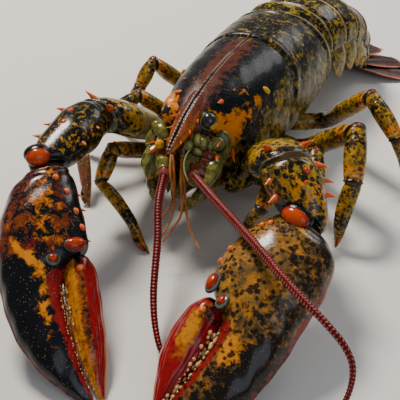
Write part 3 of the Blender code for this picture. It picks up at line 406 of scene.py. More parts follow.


# Shield: smooth thick chitin, greenish black mottling over yellow-olive, with a soft sheen
# Its dark also paints shade in the grooves; its pale marks the rear rim and paints highlights on the beads
CARAPACE_LOOK = shell_look("mottled_carapace_shell", "9A7C14", "4C480F", dark="06080E", amber="D87A08",
                           red="50251A", pale="B9A884", blotch=8.0, dark_grain=3.2, edge=6.0, specks=0.1,
                           gloss=0.27, rough_skin=0.35, glint=0.15)
# Rostrum: the same shell, worn brown between its amber rims
# Its dark also paints shade in the furrow, and its pale paints highlights on the beads
ROSTRUM_LOOK = shell_look("rostrum_shell", "8E4C22", "6A341A", dark="100808", red="5A2A1C", amber="C06A1E",
                          pale="EADFC8", blotch=4.0, dark_grain=1.6, specks=0.0)
# Abdomen rings: thinner, springy shell, yellow with black marks and a damp sheen
ABDOMEN_LOOK = shell_look("banded_abdomen_shell", "93801A", "44380F", dark="06080D", red="3E1E10",
                          amber="B8860F", pale="8A8478", blotch=6.0, dark_grain=3.0, edge=7.0, specks=0.1,
                          glint=0.16)
# Tail fan: thin leathery plates, dark red-brown with amber edges, nearly matt
FAN_LOOK = shell_look("tail_fan_shell", "42130C", "2E1C16", dark="0B0809", red="5E0E08", amber="C2500E",
                      pale="8E6A4A", blotch=7.0, dark_grain=2.5, gloss=0.38)
# Underside: unpolished thin shell, rusty and dull
UNDERSIDE_LOOK = shell_look("underside_shell", "8A5226", "5E3618", red="7A2210", blotch=8.0, gloss=0.4)
# Slender claw: hard, dense shell, rust and black, the wettest shine on the animal
CUTTER_LOOK = shell_look("cutter_claw_shell", "7A3610", "3C160C", dark="07080E", amber="D07C10", red="7E1014",
                         pale="D8BE86", blotch=8.0, dark_grain=4.0, edge=6.0, specks=0.4, gloss=0.17)
# Heavy claw: the same dense shell, tan with small round black spots
CRUSHER_LOOK = shell_look("crusher_claw_shell", "9A6A22", "5E4826", dark="150E0A", amber="C87C14",
                          red="7C1410", pale="DCC08A", blotch=9.0, dark_grain=3.4, spots=0.92, edge=4.0,
                          spot_size=2.9, gloss=0.17)
# Claw fingers: the same shell, crimson wash over amber
FINGER_LOOK = shell_look("red_finger_shell", "A2560E", "6E260E", dark="14070A", amber="C07A10", red="8A0A10",
                         pale="E2B060", blotch=6.0, dark_grain=2.4, edge=3.0, specks=0.15, gloss=0.16)
# Arms: ochre shell with black spots about 3 mm apart
ARM_LOOK = shell_look("spotted_arm_shell", "A8861A", "5E5418", dark="07080A", amber="D0840F", red="9A280E",
                      pale="C2C6A0", blotch=6.0, dark_grain=2.6, spots=0.95, spot_size=3.3, edge=7.0,
                      gloss=0.19)
# Walking legs: thin ochre shell with black freckles about 2 mm apart
LEG_LOOK = shell_look("speckled_leg_shell", "AA821A", "665214", dark="0B0B08", amber="C8700F", red="741A10",
                      pale="DCCC92", blotch=5.0, dark_grain=1.8, spots=0.8, spot_size=2.2, specks=0.35,
                      edge=7.0, gloss=0.22)
# Plates between the feelers: smooth olive shell with soft-edged marks, wet gloss
# Its dark also paints shade round the bulbs' feet and under the plates, its pale highlights on the bulbs
HEAD_LOOK = shell_look("olive_head_shell", "74702E", "454A20", dark="090A08", amber="9A7420", red="551807",
                       pale="CCD490", blotch=4.0, dark_grain=2.4, edge=2.6, specks=0.0, gloss=0.12,
                       rough_skin=0.06)
# Spines: solid shell without mottling, orange, polished by wear
SPINE_LOOK = shell_look("orange_spine_tips", "CC4A14", "D4691E", dark="5A1408", red="A82A0E", pale="EEC088",
                        blotch=2.5, dark_grain=1.5, specks=0.0, gloss=0.18, rough_skin=0.05)
# Joint knobs: bare bearing surfaces, sealing-wax red and glossy
# Their dark is painted shade round the knobs' feet
KNOB_LOOK = shell_look("red_joint_knob", "821A0A", "9E2A0E", dark="30090A", amber="B8420F", red="66100A",
                       pale="E89A60", blotch=3.5, dark_grain=2.0, specks=0.1, gloss=0.14, rough_skin=0.08)
# Cuffs round the joint knobs: grey-green shell with a pale lip
CUFF_LOOK = shell_look("grey_green_joint_cuff", "2E3A30", "1A2220", dark="080C0C", amber="6A5A2A",
                       red="4A1A10", pale="8EA08E", blotch=3.5, dark_grain=1.6, specks=0.1,
                       gloss=0.14, rough_skin=0.08)
# Yellow knobs: shell with almost no dark pigment, glossy
YELLOW_LOOK = shell_look("yellow_shell_knob", "D8A812", "C08818", dark="5A3A08", pale="F2DC9A", blotch=2.5,
                         dark_grain=1.5, specks=0.0, gloss=0.18, rough_skin=0.05)
# Claw teeth: chalky white shell on a tan root, a little less glossy
TOOTH_LOOK = shell_look("ivory_teeth", "D8C08C", "B48A50", dark="6A4A2A", red="9E4A34", amber="B06A34",
                        pale="F2E8CC", blotch=1.4, specks=0.0, gloss=0.25, rough_skin=0.05)
# Feelers: stiff crimson rings with painted highlights as pale dots, thin and only dimly shining
ANTENNA_LOOK = shell_look("ringed_antenna_shell", "560308", "68060B", dark="1C0204", pale="DCA090",
                          blotch=9.0, dark_grain=2.0, specks=0.0, gloss=0.26, rough_skin=0.06, glint=0.12)
# Small feelers: translucent tan rings, so they look soft and have little gloss
FILAMENT_LOOK = shell_look("tan_filament_shell", "B4682A", "94501C", dark="4A200C", pale="D8A870",
                           blotch=6.0, specks=0.0, gloss=0.35, rough_skin=0.06)
# Bristles: bare chitin without chalk, tan and matt
HAIR_LOOK = shell_look("tan_bristles", "9A6A24", "C0802E", dark="3A2008", pale="E0C07A", blotch=5.0,
                       specks=0.0, gloss=0.5, rough_skin=0.0)
# Joint skin: bendable leathery skin, brown and dull, with coarse wrinkles
MEMBRANE_LOOK = shell_look("joint_membrane", "4E2616", "34341C", dark="100B09", red="6E1E10", pale="A8946A",
                           blotch=3.0, dark_grain=1.2, specks=0.0, gloss=0.42, rough_skin=0.3)


# The real facets are 0.05 mm wide and don't show, so they are drawn at about 0.36 mm
FACETS_PER_METRE = 2800.0


def eye_look():
    """Compound eye: a black, very smooth cornea with facets, which shows the lamps as sharp points."""
    mat, tree, shader = blank("black_cornea")
    place = add(tree, "ShaderNodeTexCoord", {}).outputs["Object"]
    facets = add(tree, "ShaderNodeTexVoronoi", {"Vector": place, "Scale": FACETS_PER_METRE})
    tone = add(tree, "ShaderNodeMapRange", {"Value": facets, "To Min": 0.006, "To Max": 0.02})
    dents = add(tree, "ShaderNodeBump", {"Height": facets, "Strength": 0.05, "Distance": 0.0002})
    fill(tree, shader, {"Base Color": tone, "Normal": dents, "Roughness": 0.16, "IOR": 1.38,
                        "Coat Weight": 0.5, "Coat Roughness": 0.03})
    return mat


# Carapace: rows of share of its length, share of its half width, and middle, top and bottom heights
CARAPACE_LENGTH = 130.0
CARAPACE_HALF_WIDTH = 36.0
CARAPACE_LONG = 240
CARAPACE_SHAPE = (
    (-0.054, 0.20, 57.0, 65.0, 47.0), (0.0, 0.40, 54.0, 70.0, 37.0), (0.077, 0.58, 50.0, 74.0, 29.0),
    (0.192, 0.75, 47.0, 77.5, 25.0), (0.346, 0.86, 44.0, 79.5, 22.5), (0.50, 0.93, 43.0, 79.5, 21.5),
    (0.562, 0.945, 43.0, 79.4, 21.0), (0.608, 0.945, 43.0, 79.0, 21.5), (0.654, 0.967, 43.0, 79.3, 21.0),
    (0.808, 1.0, 43.0, 79.0, 21.0), (0.938, 0.985, 44.0, 77.5, 23.0), (1.0, 0.945, 46.0, 75.5, 27.0),
)
CARAPACE_ROWS = [(y * CARAPACE_LENGTH, half * CARAPACE_HALF_WIDTH, middle, top, bottom)
                 for y, half, middle, top, bottom in CARAPACE_SHAPE]
GROOVE_Y = 0.6 * CARAPACE_LENGTH
GROOVE_FORWARD = 16.0
REAR_CURVE = 8.0
BEAD_PITCH = 1.9
# Midline furrow and the two rows of beads beside it, and where they end before the rear rim
FURROW_WIDTH = 0.42
BEAD_LINE = 1.05
FURROW_END = (118.0, 124.0)
REAR_RIM_Y = 123.0
# Fullness of the section above and below, where 2 is an ellipse
BACK_FULLNESS = 2.25
BELLY_FULLNESS = 2.9


def carapace_shape(u, w):
    """Shield with a beaded midline, a neck groove that leans forward below, and a raised rear rim."""
    y, half_width, middle, top, bottom = read_rows(CARAPACE_ROWS, w).T
    s = 2.0 * u - 1.0
    angle = math.pi * (0.35 * s + 0.65 * s ** 3)
    above = np.cos(angle) > 0
    square = np.where(above, BACK_FULLNESS, BELLY_FULLNESS)
    share = end_profile(w, CARAPACE_LONG, "round", "flat")
    x = half_width * power(np.sin(angle), 2.0 / square)
    lift = power(np.cos(angle), 2.0 / square)
    z = middle + lift * np.where(above, top - middle, middle - bottom)
    topness = rise(z, 30.0, 50.0)
    ahead = 1.0 - 0.85 * rise(y, GROOVE_Y - 12.0, GROOVE_Y + 2.0)
    relief = -0.75 * bump(x, FURROW_WIDTH) + 0.3 * ahead * bump(np.abs(x) - BEAD_LINE, 0.35) * (
        0.5 + 0.5 * np.cos(TAU * y / BEAD_PITCH))
    relief *= 1.0 - rise(y, *FURROW_END)
    relief += topness * (-1.5 * bump(y - GROOVE_Y - 0.6, 1.2) + 0.5 * bump(y - GROOVE_Y - 4.0, 2.6))
    relief += -0.8 * bump(y - REAR_RIM_Y, 0.9) + 0.55 * rise(y, REAR_RIM_Y + 1.0, REAR_RIM_Y + 2.5)
    relief += 0.22 * np.sin(x * 0.31 + y * 0.17) * np.sin(y * 0.23 - z * 0.12)
    x = (x + np.sin(angle) * relief) * share
    z = middle + (z - middle + np.cos(angle) * relief) * share
    down = np.clip((top - z) / 34.0, 0.0, 1.0) ** 1.5
    lean = GROOVE_FORWARD * np.maximum(0.0, 1.0 - np.abs(y - GROOVE_Y) / 50.0)
    back = REAR_CURVE * np.maximum(0.0, (y - CARAPACE_LENGTH + 20.0) / 20.0)
    return np.stack((x, y + (back - lean) * down, z), axis=1)


# Orange patches on the front of the shield: place, radius and strength
ORANGE_PATCHES = (
    ((14.8, 3.8, 64.5), 6.0, 1.3), ((19.8, 9.9, 60.0), 8.0, 1.2), ((21.1, 17.0, 62.2), 6.5, 1.0),
    ((23.7, 24.2, 62.2), 5.5, 0.9), ((24.0, 33.0, 65.0), 5.0, 0.8), ((18.1, 27.0, 71.5), 5.0, 0.6),
    ((-17.0, 6.0, 63.5), 7.0, 1.2), ((-19.4, 12.7, 63.0), 5.0, 0.9), ((-22.0, 22.0, 60.0), 7.0, 0.8))
# Rostrum, from its root in the shield to its tip: x, y, z, half width and half depth
ROSTRUM_ROWS = ((0, 24, 70.4, 5.4, 3.4), (0, 14, 70.4, 7.0, 4.7), (0, 3, 67.0, 6.8, 4.9),
                (0, -6, 64.0, 5.8, 4.5), (0, -14, 61.0, 4.2, 3.5), (0, -20.5, 58.8, 2.5, 2.3),
                (0, -24.5, 57.3, 0.7, 0.9))


def carapace_marks(points, u, w):
    """Black flanks, brown ridges beside the midline, orange patches in front, an amber band low down."""
    x, _, z = points.T
    y0 = read_rows(CARAPACE_ROWS, w)[:, 0]
    side = np.abs(x)
    front = 1.0 - rise(y0, 62.0, 80.0)
    high = rise(z, 48.0, 64.0)
    ridge = bump(side, 11.0) * front
    flank = rise(side, 2.0, 15.0) * (1.0 - rise(side, 24.0, 31.0)) * high * front
    orange = np.zeros_like(x)
    for place, radius, strength in ORANGE_PATCHES:
        orange = np.maximum(orange, strength * near(points, place, radius))
    dark = 0.46 + 0.46 * flank - 0.16 * ridge + 0.18 * high * (1.0 - front) - 0.62 * orange
    dark = dark + 0.4 * near(points, (14.0, 12.0, 71.0), 4.0) + 0.5 * near(points, (24.0, 22.0, 52.0), 7.0)
    # Painted shade: darker in the midline furrow and in the neck groove
    groove = bump(x, FURROW_WIDTH) * (1.0 - rise(y0, *FURROW_END))
    groove = groove * (1.0 - 0.4 * rise(y0, GROOVE_Y - 10, GROOVE_Y))
    neck = bump(y0 - GROOVE_Y - 0.6, 0.9) * rise(z, 36.0, 50.0)
    dark = np.maximum(dark, np.maximum(groove * 1.5, neck * 0.85))
    amber = orange + 0.3 * ridge * (1.0 - rise(y0, 8.0, 30.0)) + 0.22 * bump(z - 50.0, 10.0)
    red = 1.5 * ridge * (1.0 - orange)
    # Painted highlights: pale on the crests of the beads beside the midline
    beads = bump(side - BEAD_LINE, 0.28) * rise(np.cos(TAU * y0 / BEAD_PITCH), 0.1, 0.8)
    beads = beads * (1.0 - rise(y0, GROOVE_Y - 14.0, GROOVE_Y + 4.0))
    rim = 0.3 * rise(y0, REAR_RIM_Y + 2.5, REAR_RIM_Y + 4.0)
    return paint(dark, amber, red, np.maximum(beads * 0.8, rim))


def rostrum_lines(u, rows):
    """Share of groove and of beaded rim on top of the rostrum, by distance from its midline."""
    across = rows[:, 3] * np.sin(TAU * u)
    top = np.cos(TAU * u) > 0
    narrow = np.clip(rows[:, 3] / 4.0, 0.25, 1.0)
    beads = rise(np.cos(TAU * rows[:, 1] / BEAD_PITCH), -0.2, 0.8)
    return top * bump(across, 0.62 * narrow), top * bump(np.abs(across) - 1.15 * narrow, 0.3), beads


def rostrum_relief(u, w, rows):
    """Midline furrow and beaded rims."""
    groove, rim, beads = rostrum_lines(u, rows)
    return -0.9 * groove + rim * (0.12 + 0.2 * beads)


def rostrum_marks(points, u, w):
    """Painted shade in the furrow, brown ridge, amber sides, painted highlights on the beads."""
    groove, rim, beads = rostrum_lines(u, read_rows(ROSTRUM_ROWS, w))
    top = np.minimum(u, 1.0 - u)
    # Painted shade darkens the furrow; the pale on the beads is a painted highlight
    dark = 1.5 * groove + 0.24 + 0.3 * rise(top, 0.3, 0.4) + 0.15 * rise(w, 0.7, 1.0)
    red = 0.9 * bump(top - 0.05, 0.08) * (1.0 - rise(w, 0.3, 0.6)) + 0.1
    return paint(dark, 0.7 * rise(top, 0.08, 0.2) * rise(w, 0.15, 0.35), red, rim * beads * 0.65)


def carapace_top(y, x=0.0):
    """Height of the shield over a place, by reading its rows."""
    ys = [row[0] for row in CARAPACE_ROWS]
    half, middle, top = (np.interp(y, ys, [row[k] for row in CARAPACE_ROWS]) for k in (1, 2, 3))
    share = min(1.0, abs(x) / half)
    return float(middle + (top - middle) * (1.0 - share ** BACK_FULLNESS) ** (1.0 / BACK_FULLNESS))


def tip_marks(points, u, w):
    """Dark red root, orange middle, pale tip."""
    return paint(0.5 * (1.0 - rise(w, 0.0, 0.35)), 0.0, 0.4 * (1.0 - rise(w, 0.2, 0.6)),
                 0.75 * rise(w, 0.72, 1.0))


def make_carapace():
    """Shield and rostrum with their spines and small knobs."""
    slot = "carapace_shell"
    rolled("carapace_shield", carapace_shape, 220, CARAPACE_LONG, CARAPACE_LOOK, carapace_marks,
           "carapace")
    limb_piece("rostrum", ROSTRUM_ROWS, 180, 150, ROSTRUM_LOOK, rostrum_marks, slot, square=2.1, end="point",
               relief=rostrum_relief)
    thorns = []
    for side, _ in SIDE_NAMES:
        for y, reach, length in ((-2.0, 5.6, 4.6), (-9.0, 4.6, 4.2), (-16.0, 3.0, 3.6)):
            z = 66.4 + (y + 2.0) * 0.42
            thorns.append(thorn((side * reach, y, z), (side * 0.6, -1.0, 0.1), length, 1.1, (0, -0.15, 0.2)))
        for x, y, length in ((12.0, 12.5, 6.0), (14.5, 24.0, 3.0)):
            root = (side * x, y, carapace_top(y, x) - 0.3)
            thorns.append(thorn(root, (side * 0.15, -1.0, 0.35), length, 0.28 * length, (0, -0.1, 0.15)))
        for x, y, z, out, down, length, radius in ((17.5, -1.0, 56.0, 0.25, 0.0, 6.5, 2.1),
                                                   (18.5, 1.0, 47.0, 0.35, -0.1, 5.5, 1.9)):
            thorns.append(thorn((side * x, y, z), (side * out, -1.0, down), length, radius, (0, 0, 0.15)))
    joined("carapace_spines", thorns, 12, 10, SPINE_LOOK, tip_marks, slot)
    knobs = [ball((side * 25.2, 43.0, 66.6), (side, 0, 0.8), 1.7, 0.9, 1.7, (0.2, -0.3, 1))
             for side, _ in SIDE_NAMES]
    joined("carapace_yellow_knobs", knobs, 20, 12, YELLOW_LOOK, None, slot)
    knobs = [ball((side * 4.4, -9.4, 62.0), (side * 0.6, -0.6, 0.7), 1.8, 0.9) for side, _ in SIDE_NAMES]
    joined("rostrum_knobs", knobs, 20, 12, KNOB_LOOK, None, slot)


# Eyes, each sunk in the cup of its stalk: where it faces, how far its lip is from its middle, and how
# plump the cup is, in mm
EYE_RADIUS = 4.5
EYES = {"l": ((0.42, -0.80, 0.36), 2.1, 0.0), "r": ((-0.48, -0.62, 0.60), 3.7, 0.9)}


def olive_cup_marks(points, u, w):
    """Dark cup, partly own colour and partly painted shade of the deep socket; amber patch, pale green lip.
    """
    edge = rise(w, 0.78, 0.9)
    patch = bump(u - 0.62, 0.12) * rise(w, 0.55, 0.8)
    return paint(0.62 * (1.0 - edge) + 0.2 - 0.7 * patch, 1.2 * patch, 0.0, 0.16 * edge)


def orange_cup_marks(points, u, w):
    """Orange cup with a darker lip."""
    return paint(0.34 + 0.2 * rise(w, 0.78, 0.9), 0.9, 0.2)


def make_eyes():
    """Left eye in an olive cup with an amber corner, right eye in an orange cup."""
    cornea = eye_look()
    for side, letter in SIDE_NAMES:
        facing, lip, plump = EYES[letter]
        middle = vec(side * EYE_PLACE[0], 0.0, EYE_PLACE[2])
        outward = unit(vec(*facing))
        rolled("eye_%s_cornea" % letter, ball(middle, outward, EYE_RADIUS, 1.0), 48, 32, cornea, None,
               "eye_" + letter)
        rim = math.sqrt(EYE_RADIUS ** 2 - lip ** 2)
        rows = [(*(middle + outward * d), r, r) for d, r in
                ((-11.0, 3.0 + plump), (-7.0, 4.2 + plump), (-3.0, 5.0 + plump),
                 (lip * 0.4 - 1.0, rim + 0.7 + plump * 2), (lip - 0.4, rim + 0.45 + plump * 0.7),
                 (lip, rim + 0.15))]
        look, marks = (CARAPACE_LOOK, orange_cup_marks) if letter == "r" else (HEAD_LOOK, olive_cup_marks)
        if letter == "l":
            corner = ball(middle + vec(3.4, -1.2, -1.2), outward + vec(0.6, 0.0, -0.4), 2.3, 0.7, 1.2,
                          (1, 0.5, 0.2))
            # Painted shade darkens the corner knob round its foot, where it meets the cup
            joined("eye_corner_l", [corner], 24, 16, YELLOW_LOOK,
                   lambda p, u, w: paint(0.75 * rise(w, 0.25, 0.45) + 0.2), "eyestalk_shell")
        limb_piece("eye_cup_" + letter, rows, 44, 60, look, marks, "eyestalk_shell", "eyestalk_" + letter,
                   end="flat")


def make_hood():
    """Low orange brow over the right eye, blended into the shield behind it."""
    rows = ((-11.2, 1.2, 66.6, 3.0, 2.0), (-12.6, 5.0, 67.8, 4.6, 2.8), (-12.8, 10.0, 69.2, 4.0, 2.6),
            (-12.2, 15.0, 71.0, 1.8, 1.4))
    limb_piece("right_brow_hood", rows, 40, 50, CARAPACE_LOOK,
               lambda p, u, w: paint(0.3 + 0.4 * rise(w, 0.5, 0.9), 0.95, 0.2), "carapace_shell")


# Abdomen: length, pitch and yaw of each ring, then half widths and heights at the planes between
ABDOMEN_START = vec(0.0, CARAPACE_LENGTH + 0.6, 52.0)
ABDOMEN_STEPS = ((12.0, 2.0, 8.0), (21.0, -2.0, 10.0), (20.0, -10.0, 12.0), (19.0, -25.0, 14.0),
                 (17.0, -43.0, 16.0), (19.0, -54.0, 18.0))
ABDOMEN_SECTIONS = ((30.0, 21.5, 14.0), (31.5, 23.0, 14.0), (31.5, 22.5, 13.0), (30.0, 20.5, 12.0),
                    (28.0, 18.0, 10.5), (25.0, 15.0, 9.0), (20.0, 8.5, 6.0))
PLEURON_DROPS = (0, 21.0, 19.5, 17.5, 15.0, 0)
RING_LONG = 60
RING_FURROW = 0.22
RING_FULLNESS = 2.3


def heading(pitch, yaw):
    """Direction backwards along the body, raised by pitch and turned left by yaw, in degrees."""
    p, a = math.radians(pitch), math.radians(yaw)
    return vec(math.sin(a) * math.cos(p), math.cos(a) * math.cos(p), math.sin(p))


def abdomen_frames():
    """Centre, side, up and ahead at each of the seven planes between the rings."""
    heads = [heading(pitch, yaw) for _, pitch, yaw in ABDOMEN_STEPS]
    centres = [ABDOMEN_START]
    for (length, _, _), head in zip(ABDOMEN_STEPS, heads):
        centres.append(centres[-1] + head * length)
    frames = []
    for k, centre in enumerate(centres):
        before = heads[k - 1] if k else vec(0, 1, 0)
        ahead = unit(before + heads[min(k, 5)])
        side = unit(np.cross(ahead, vec(0, 0, 1)))
        frames.append((centre, side, np.cross(side, ahead), ahead))
    return frames


def ring_shape(frames, k):
    """One ring of the abdomen: a smooth band, a furrow, and a raised rear rim over the next ring."""
    (c0, s0, u0, _), (c1, s1, u1, _) = frames[k], frames[k + 1]
    one, two = ABDOMEN_SECTIONS[k], ABDOMEN_SECTIONS[k + 1]

    def shape(u, w):
        t = w[:, None]
        side = unit(s0 * (1 - t) + s1 * t)
        up = unit(u0 * (1 - t) + u1 * t)
        centre = c0 * (1 - t) + c1 * t
        angle = TAU * u
        above = np.cos(angle) > 0
        swell = 1.8 * w - 0.6 - 1.1 * bump(w - RING_FURROW, 0.05) + 0.5 * rise(w, 0.86, 0.9)
        swell = np.where(above, swell, swell * 0.3)
        share = end_profile(w, RING_LONG, "flat", "flat")
        half = (one[0] + (two[0] - one[0]) * w + swell * 0.7) * share
        high = (one[1] + (two[1] - one[1]) * w + swell) * share
        deep = (one[2] + (two[2] - one[2]) * w) * share
        x = half * power(np.sin(angle), 2 / RING_FULLNESS)
        z = np.where(above, high, deep) * power(np.cos(angle), 2 / RING_FULLNESS)
        return centre + side * x[:, None] + up * z[:, None]
    return shape


def ring_marks(points, u, w):
    """Darker on top, a black furrow, a pale rear rim."""
    top = np.minimum(u, 1.0 - u)
    rim = rise(w, 0.87, 0.9) * (1.0 - rise(top, 0.27, 0.33))
    dark = 0.12 * (1.0 - rise(top, 0.1, 0.26)) + 0.44 - 0.3 * rim
    dark = np.maximum(dark, 1.1 * bump(w - RING_FURROW, 0.03))
    return paint(dark, 0.4 * bump(top - 0.16, 0.1), 0.25 * bump(top - 0.1, 0.1), rim * 0.4)


# Swimmerets: drop below the ring, shift backwards and half width
SWIMMERET_ROWS = ((-3.0, 0.0, 2.5), (4.0, 1.0, 4.5), (10.5, 3.5, 3.0))
SWIMMERET_HAIRS = 26


def make_abdomen(frames):
    """Six rings; the second to fifth have side plates, the second to fourth swimmerets."""
    slot = "abdomen_shell"
    hairs = []
    for k in range(6):
        (c0, s0, u0, a0), (c1, s1, u1, a1) = frames[k], frames[k + 1]
        node = "abdomen_%d" % (k + 1)
        rolled(node + "_band", ring_shape(frames, k), 120, RING_LONG, ABDOMEN_LOOK, ring_marks, node)
        centre = c0 * 0.48 + c1 * 0.52
        side, up, ahead = unit(s0 + s1), unit(u0 + u1), unit(a0 + a1)
        width = (ABDOMEN_SECTIONS[k][0] + ABDOMEN_SECTIONS[k + 1][0]) / 2
        below = ABDOMEN_SECTIONS[k][2]
        length = float(np.linalg.norm(c1 - c0))
        for sign, letter in SIDE_NAMES:
            def beside(out, fall, back):
                return centre + side * (sign * out) - up * fall + ahead * back

            if k in (1, 2, 3, 4):
                drop = PLEURON_DROPS[k]
                rows = [(*beside(width + out, fall, back), half * length, 1.6 - fall / drop * 0.8)
                        for out, fall, back, half in ((-4.0, -2.5, 0.0, 0.46), (0.8, 7.0, 0.3, 0.45),
                                                      (2.7, drop * 0.7, 1.5, 0.33),
                                                      (3.0, drop + 1.5, 4.2, 0.05))]
                limb_piece("%s_side_plate_%s" % (node, letter), rows, 40, 50, ABDOMEN_LOOK, pleuron_marks,
                           slot, up=tuple(side * sign), square=2.3, end="point", relief=pleuron_relief)
            if k in (1, 2, 3):
                rows = [(*beside(12.0, below + fall, back), half, 1.0) for fall, back, half in SWIMMERET_ROWS]
                limb_piece("%s_swimmeret_%s" % (node, letter), rows, 20, 30, UNDERSIDE_LOOK,
                           lambda p, u, w: paint(0.1, 0.3, 0.5 * rise(w, 0.5, 1), 0.1), slot,
                           up=tuple(ahead))
                for j in range(SWIMMERET_HAIRS):
                    t = j / (SWIMMERET_HAIRS - 1.0)
                    root = np.array(rows[1][:3]) * (1 - t) + np.array(rows[2][:3]) * t
                    root = root + side * RNG.uniform(-3, 3)
                    lean = -up + ahead * 0.6 + side * RNG.uniform(-0.4, 0.4)
                    hairs.append(thorn(root - up * 0.5, lean, 4.0, 0.22))
            if k == 5:
                root = c0 * 0.2 + c1 * 0.8 + side * (sign * (ABDOMEN_SECTIONS[6][0] - 1.0)) - up * 2.0
                corner = thorn(root, ahead + side * (0.35 * sign) - up * 0.3, 7.0, 2.6)
                joined("%s_corner_%s" % (node, letter), [corner], 14, 10, ABDOMEN_LOOK, tip_marks, slot)
    joined("swimmeret_bristles", hairs, *HAIR_GRID, HAIR_LOOK, None, slot)


def pleuron_relief(u, w, rows):
    """A raised border with a furrow inside it."""
    return 0.35 * bump(from_edge(u) - 0.03, 0.03) - 0.25 * bump(from_edge(u) - 0.09, 0.03)


def pleuron_marks(points, u, w):
    """Mottled like its ring, paler at the border."""
    rim = np.maximum(bump(from_edge(u), 0.035), rise(w, 0.88, 0.97))
    return paint(0.4 - 0.15 * w, 0.4 * rise(w, 0.2, 0.7), 0.1, rim * 0.45)


# Tail fan: rows of distance and half width along each plate
TELSON_ROWS = ((-4.0, 11.0), (4.0, 13.5), (14.0, 14.5), (26.0, 14.0), (34.0, 12.0), (38.0, 8.0))
INNER_ROWS = ((-3.0, 4.5), (5.0, 7.0), (15.0, 10.5), (27.0, 12.0), (36.0, 10.5), (41.0, 6.0))
OUTER_ROWS = ((-3.0, 4.5), (5.0, 7.5), (15.0, 11.5), (27.0, 13.5), (37.0, 11.5), (43.0, 6.5))
FAN_THICKNESS = 1.6
FAN_LAYER = 2.8
FAN_REACH = 43.0
FAN_SPREADS = (20.0, 40.0)
FLOOR_TRIM = 0.5
FAN_LONG = 80
FAN_ROUNDING = 0.8
FAN_CLEARANCE = 0.1
FRINGE_HAIRS = 80


def fan_plate(name, root, head, tilt, rows):
    """A tail plate with a raised midrib, fine rays and a fringe of bristles on its rear edge."""
    slot = "tail_fan_shell"
    side = unit(np.cross(head, vec(0, 0, 1)))
    slope = unit(head - vec(0, 0, 1) * tilt)
    up = np.cross(side, slope)

    def shape(u, w):
        distance, half = read_rows(rows, w).T
        share = end_profile(w, FAN_LONG, "round", "round")
        angle = TAU * u
        across = power(np.sin(angle), FAN_ROUNDING)
        ribs = 0.45 * bump(across, 0.07) + 0.14 * np.cos(across * 42.0) * rise(w, 0.15, 0.4)
        thick = (FAN_THICKNESS / 2 + np.where(np.cos(angle) > 0, ribs, 0.0) - 0.15) * share
        lift = power(np.cos(angle), FAN_ROUNDING) * thick
        dish = 0.8 * (1.0 - across ** 2) * rise(w, 0.1, 0.5)
        points = root + slope * distance[:, None] + side * (across * half * share)[:, None]
        points = points + up * (lift + dish - 0.4)[:, None]
        points[:, 2] = np.maximum(points[:, 2], FAN_CLEARANCE)
        return points

    def marks(points, u, w):
        across = np.abs(power(np.sin(TAU * u), FAN_ROUNDING))
        edge = np.maximum(rise(across, 0.86, 0.96), rise(w, 0.9, 0.97))
        return paint(0.42 - 0.3 * edge, 0.9 * edge, 0.35 * rise(across, 0.4, 0.9), 0.0)

    rolled(name + "_plate", shape, 84, FAN_LONG, FAN_LOOK, marks, name)
    hairs = []
    distance, half = read_rows(rows, np.array([0.93]))[0]
    end = rows[-1][0]
    for k in range(FRINGE_HAIRS):
        t = -1.0 + 2.0 * k / (FRINGE_HAIRS - 1.0)
        reach = half * math.sin(t * math.pi / 2) * 0.98
        along = distance - 1.0 + (end - distance + 1.2) * math.cos(t * math.pi / 2)
        spot = root + slope * along + side * reach
        lean = slope + side * (t * 0.7) + side * RNG.uniform(-0.08, 0.08)
        spot[2] = max(spot[2], 0.35)
        lean = unit(lean)
        lean[2] = max(lean[2], (0.4 - spot[2]) / 4.0)
        hairs.append(thorn(spot, lean, RNG.uniform(3.0, 4.2), 0.24))
    joined(name + "_fringe", hairs, *HAIR_GRID, HAIR_LOOK, None, slot)


def make_fan(frames):
    """Telson in the middle, with an inner and an outer plate on each side below it."""
    end, side, _, ahead = frames[6]
    flat_head = unit(vec(ahead[0], ahead[1], 0))
    level = end[2] + 1.6
    tilt = (level - 2 * FAN_LAYER + FLOOR_TRIM) / FAN_REACH
    root = vec(end[0], end[1], level) + flat_head * 1.5
    fan_plate("telson", root, flat_head, tilt, TELSON_ROWS)
    for sign, letter in SIDE_NAMES:
        for kind, spread, out, layer, rows in (("inner", FAN_SPREADS[0], 12.5, 1, INNER_ROWS),
                                               ("outer", FAN_SPREADS[1], 15.5, 2, OUTER_ROWS)):
            turn = math.radians(spread * sign)
            head = vec(flat_head[0] * math.cos(turn) + flat_head[1] * math.sin(turn),
                       flat_head[1] * math.cos(turn) - flat_head[0] * math.sin(turn), 0)
            root = vec(end[0], end[1], level - FAN_LAYER * layer) + side * (sign * out) - flat_head * 2.0
            fan_plate("uropod_%s_%s" % (kind, letter), root, head, tilt, rows)


# Feelers: middle lines as x, y, z and half width
ANTENNA_R = ((-3.5, -22, 43, 2.2), (3.5, -42, 38.5, 2.1), (11.5, -58, 30, 1.95), (21.0, -80, 18, 1.75),
             (29.0, -93, 9.5, 1.5), (37.5, -101, 4.2, 1.3), (50.0, -104, 2.2, 1.1), (64.0, -100, 1.6, 0.9),
             (76.0, -95, 1.4, 0.6))
ANTENNA_L = ((11.9, -18.9, 44, 2.2), (30.0, -37, 49, 2.1), (46.4, -52, 52.5, 2.05), (65.7, -69, 55.5, 1.9),
             (83.0, -84, 57, 1.75), (97.5, -95, 57.5, 1.6), (108.5, -102, 56.5, 1.45),
             (117.0, -106, 52.5, 1.35), (121.6, -109, 46.0, 1.25), (122.0, -112, 34.5, 1.1),
             (118.0, -117, 22.0, 1.0), (111.0, -124, 11.0, 0.9), (100.0, -132, 4.0, 0.8),
             (84.0, -141, 1.4, 0.6))
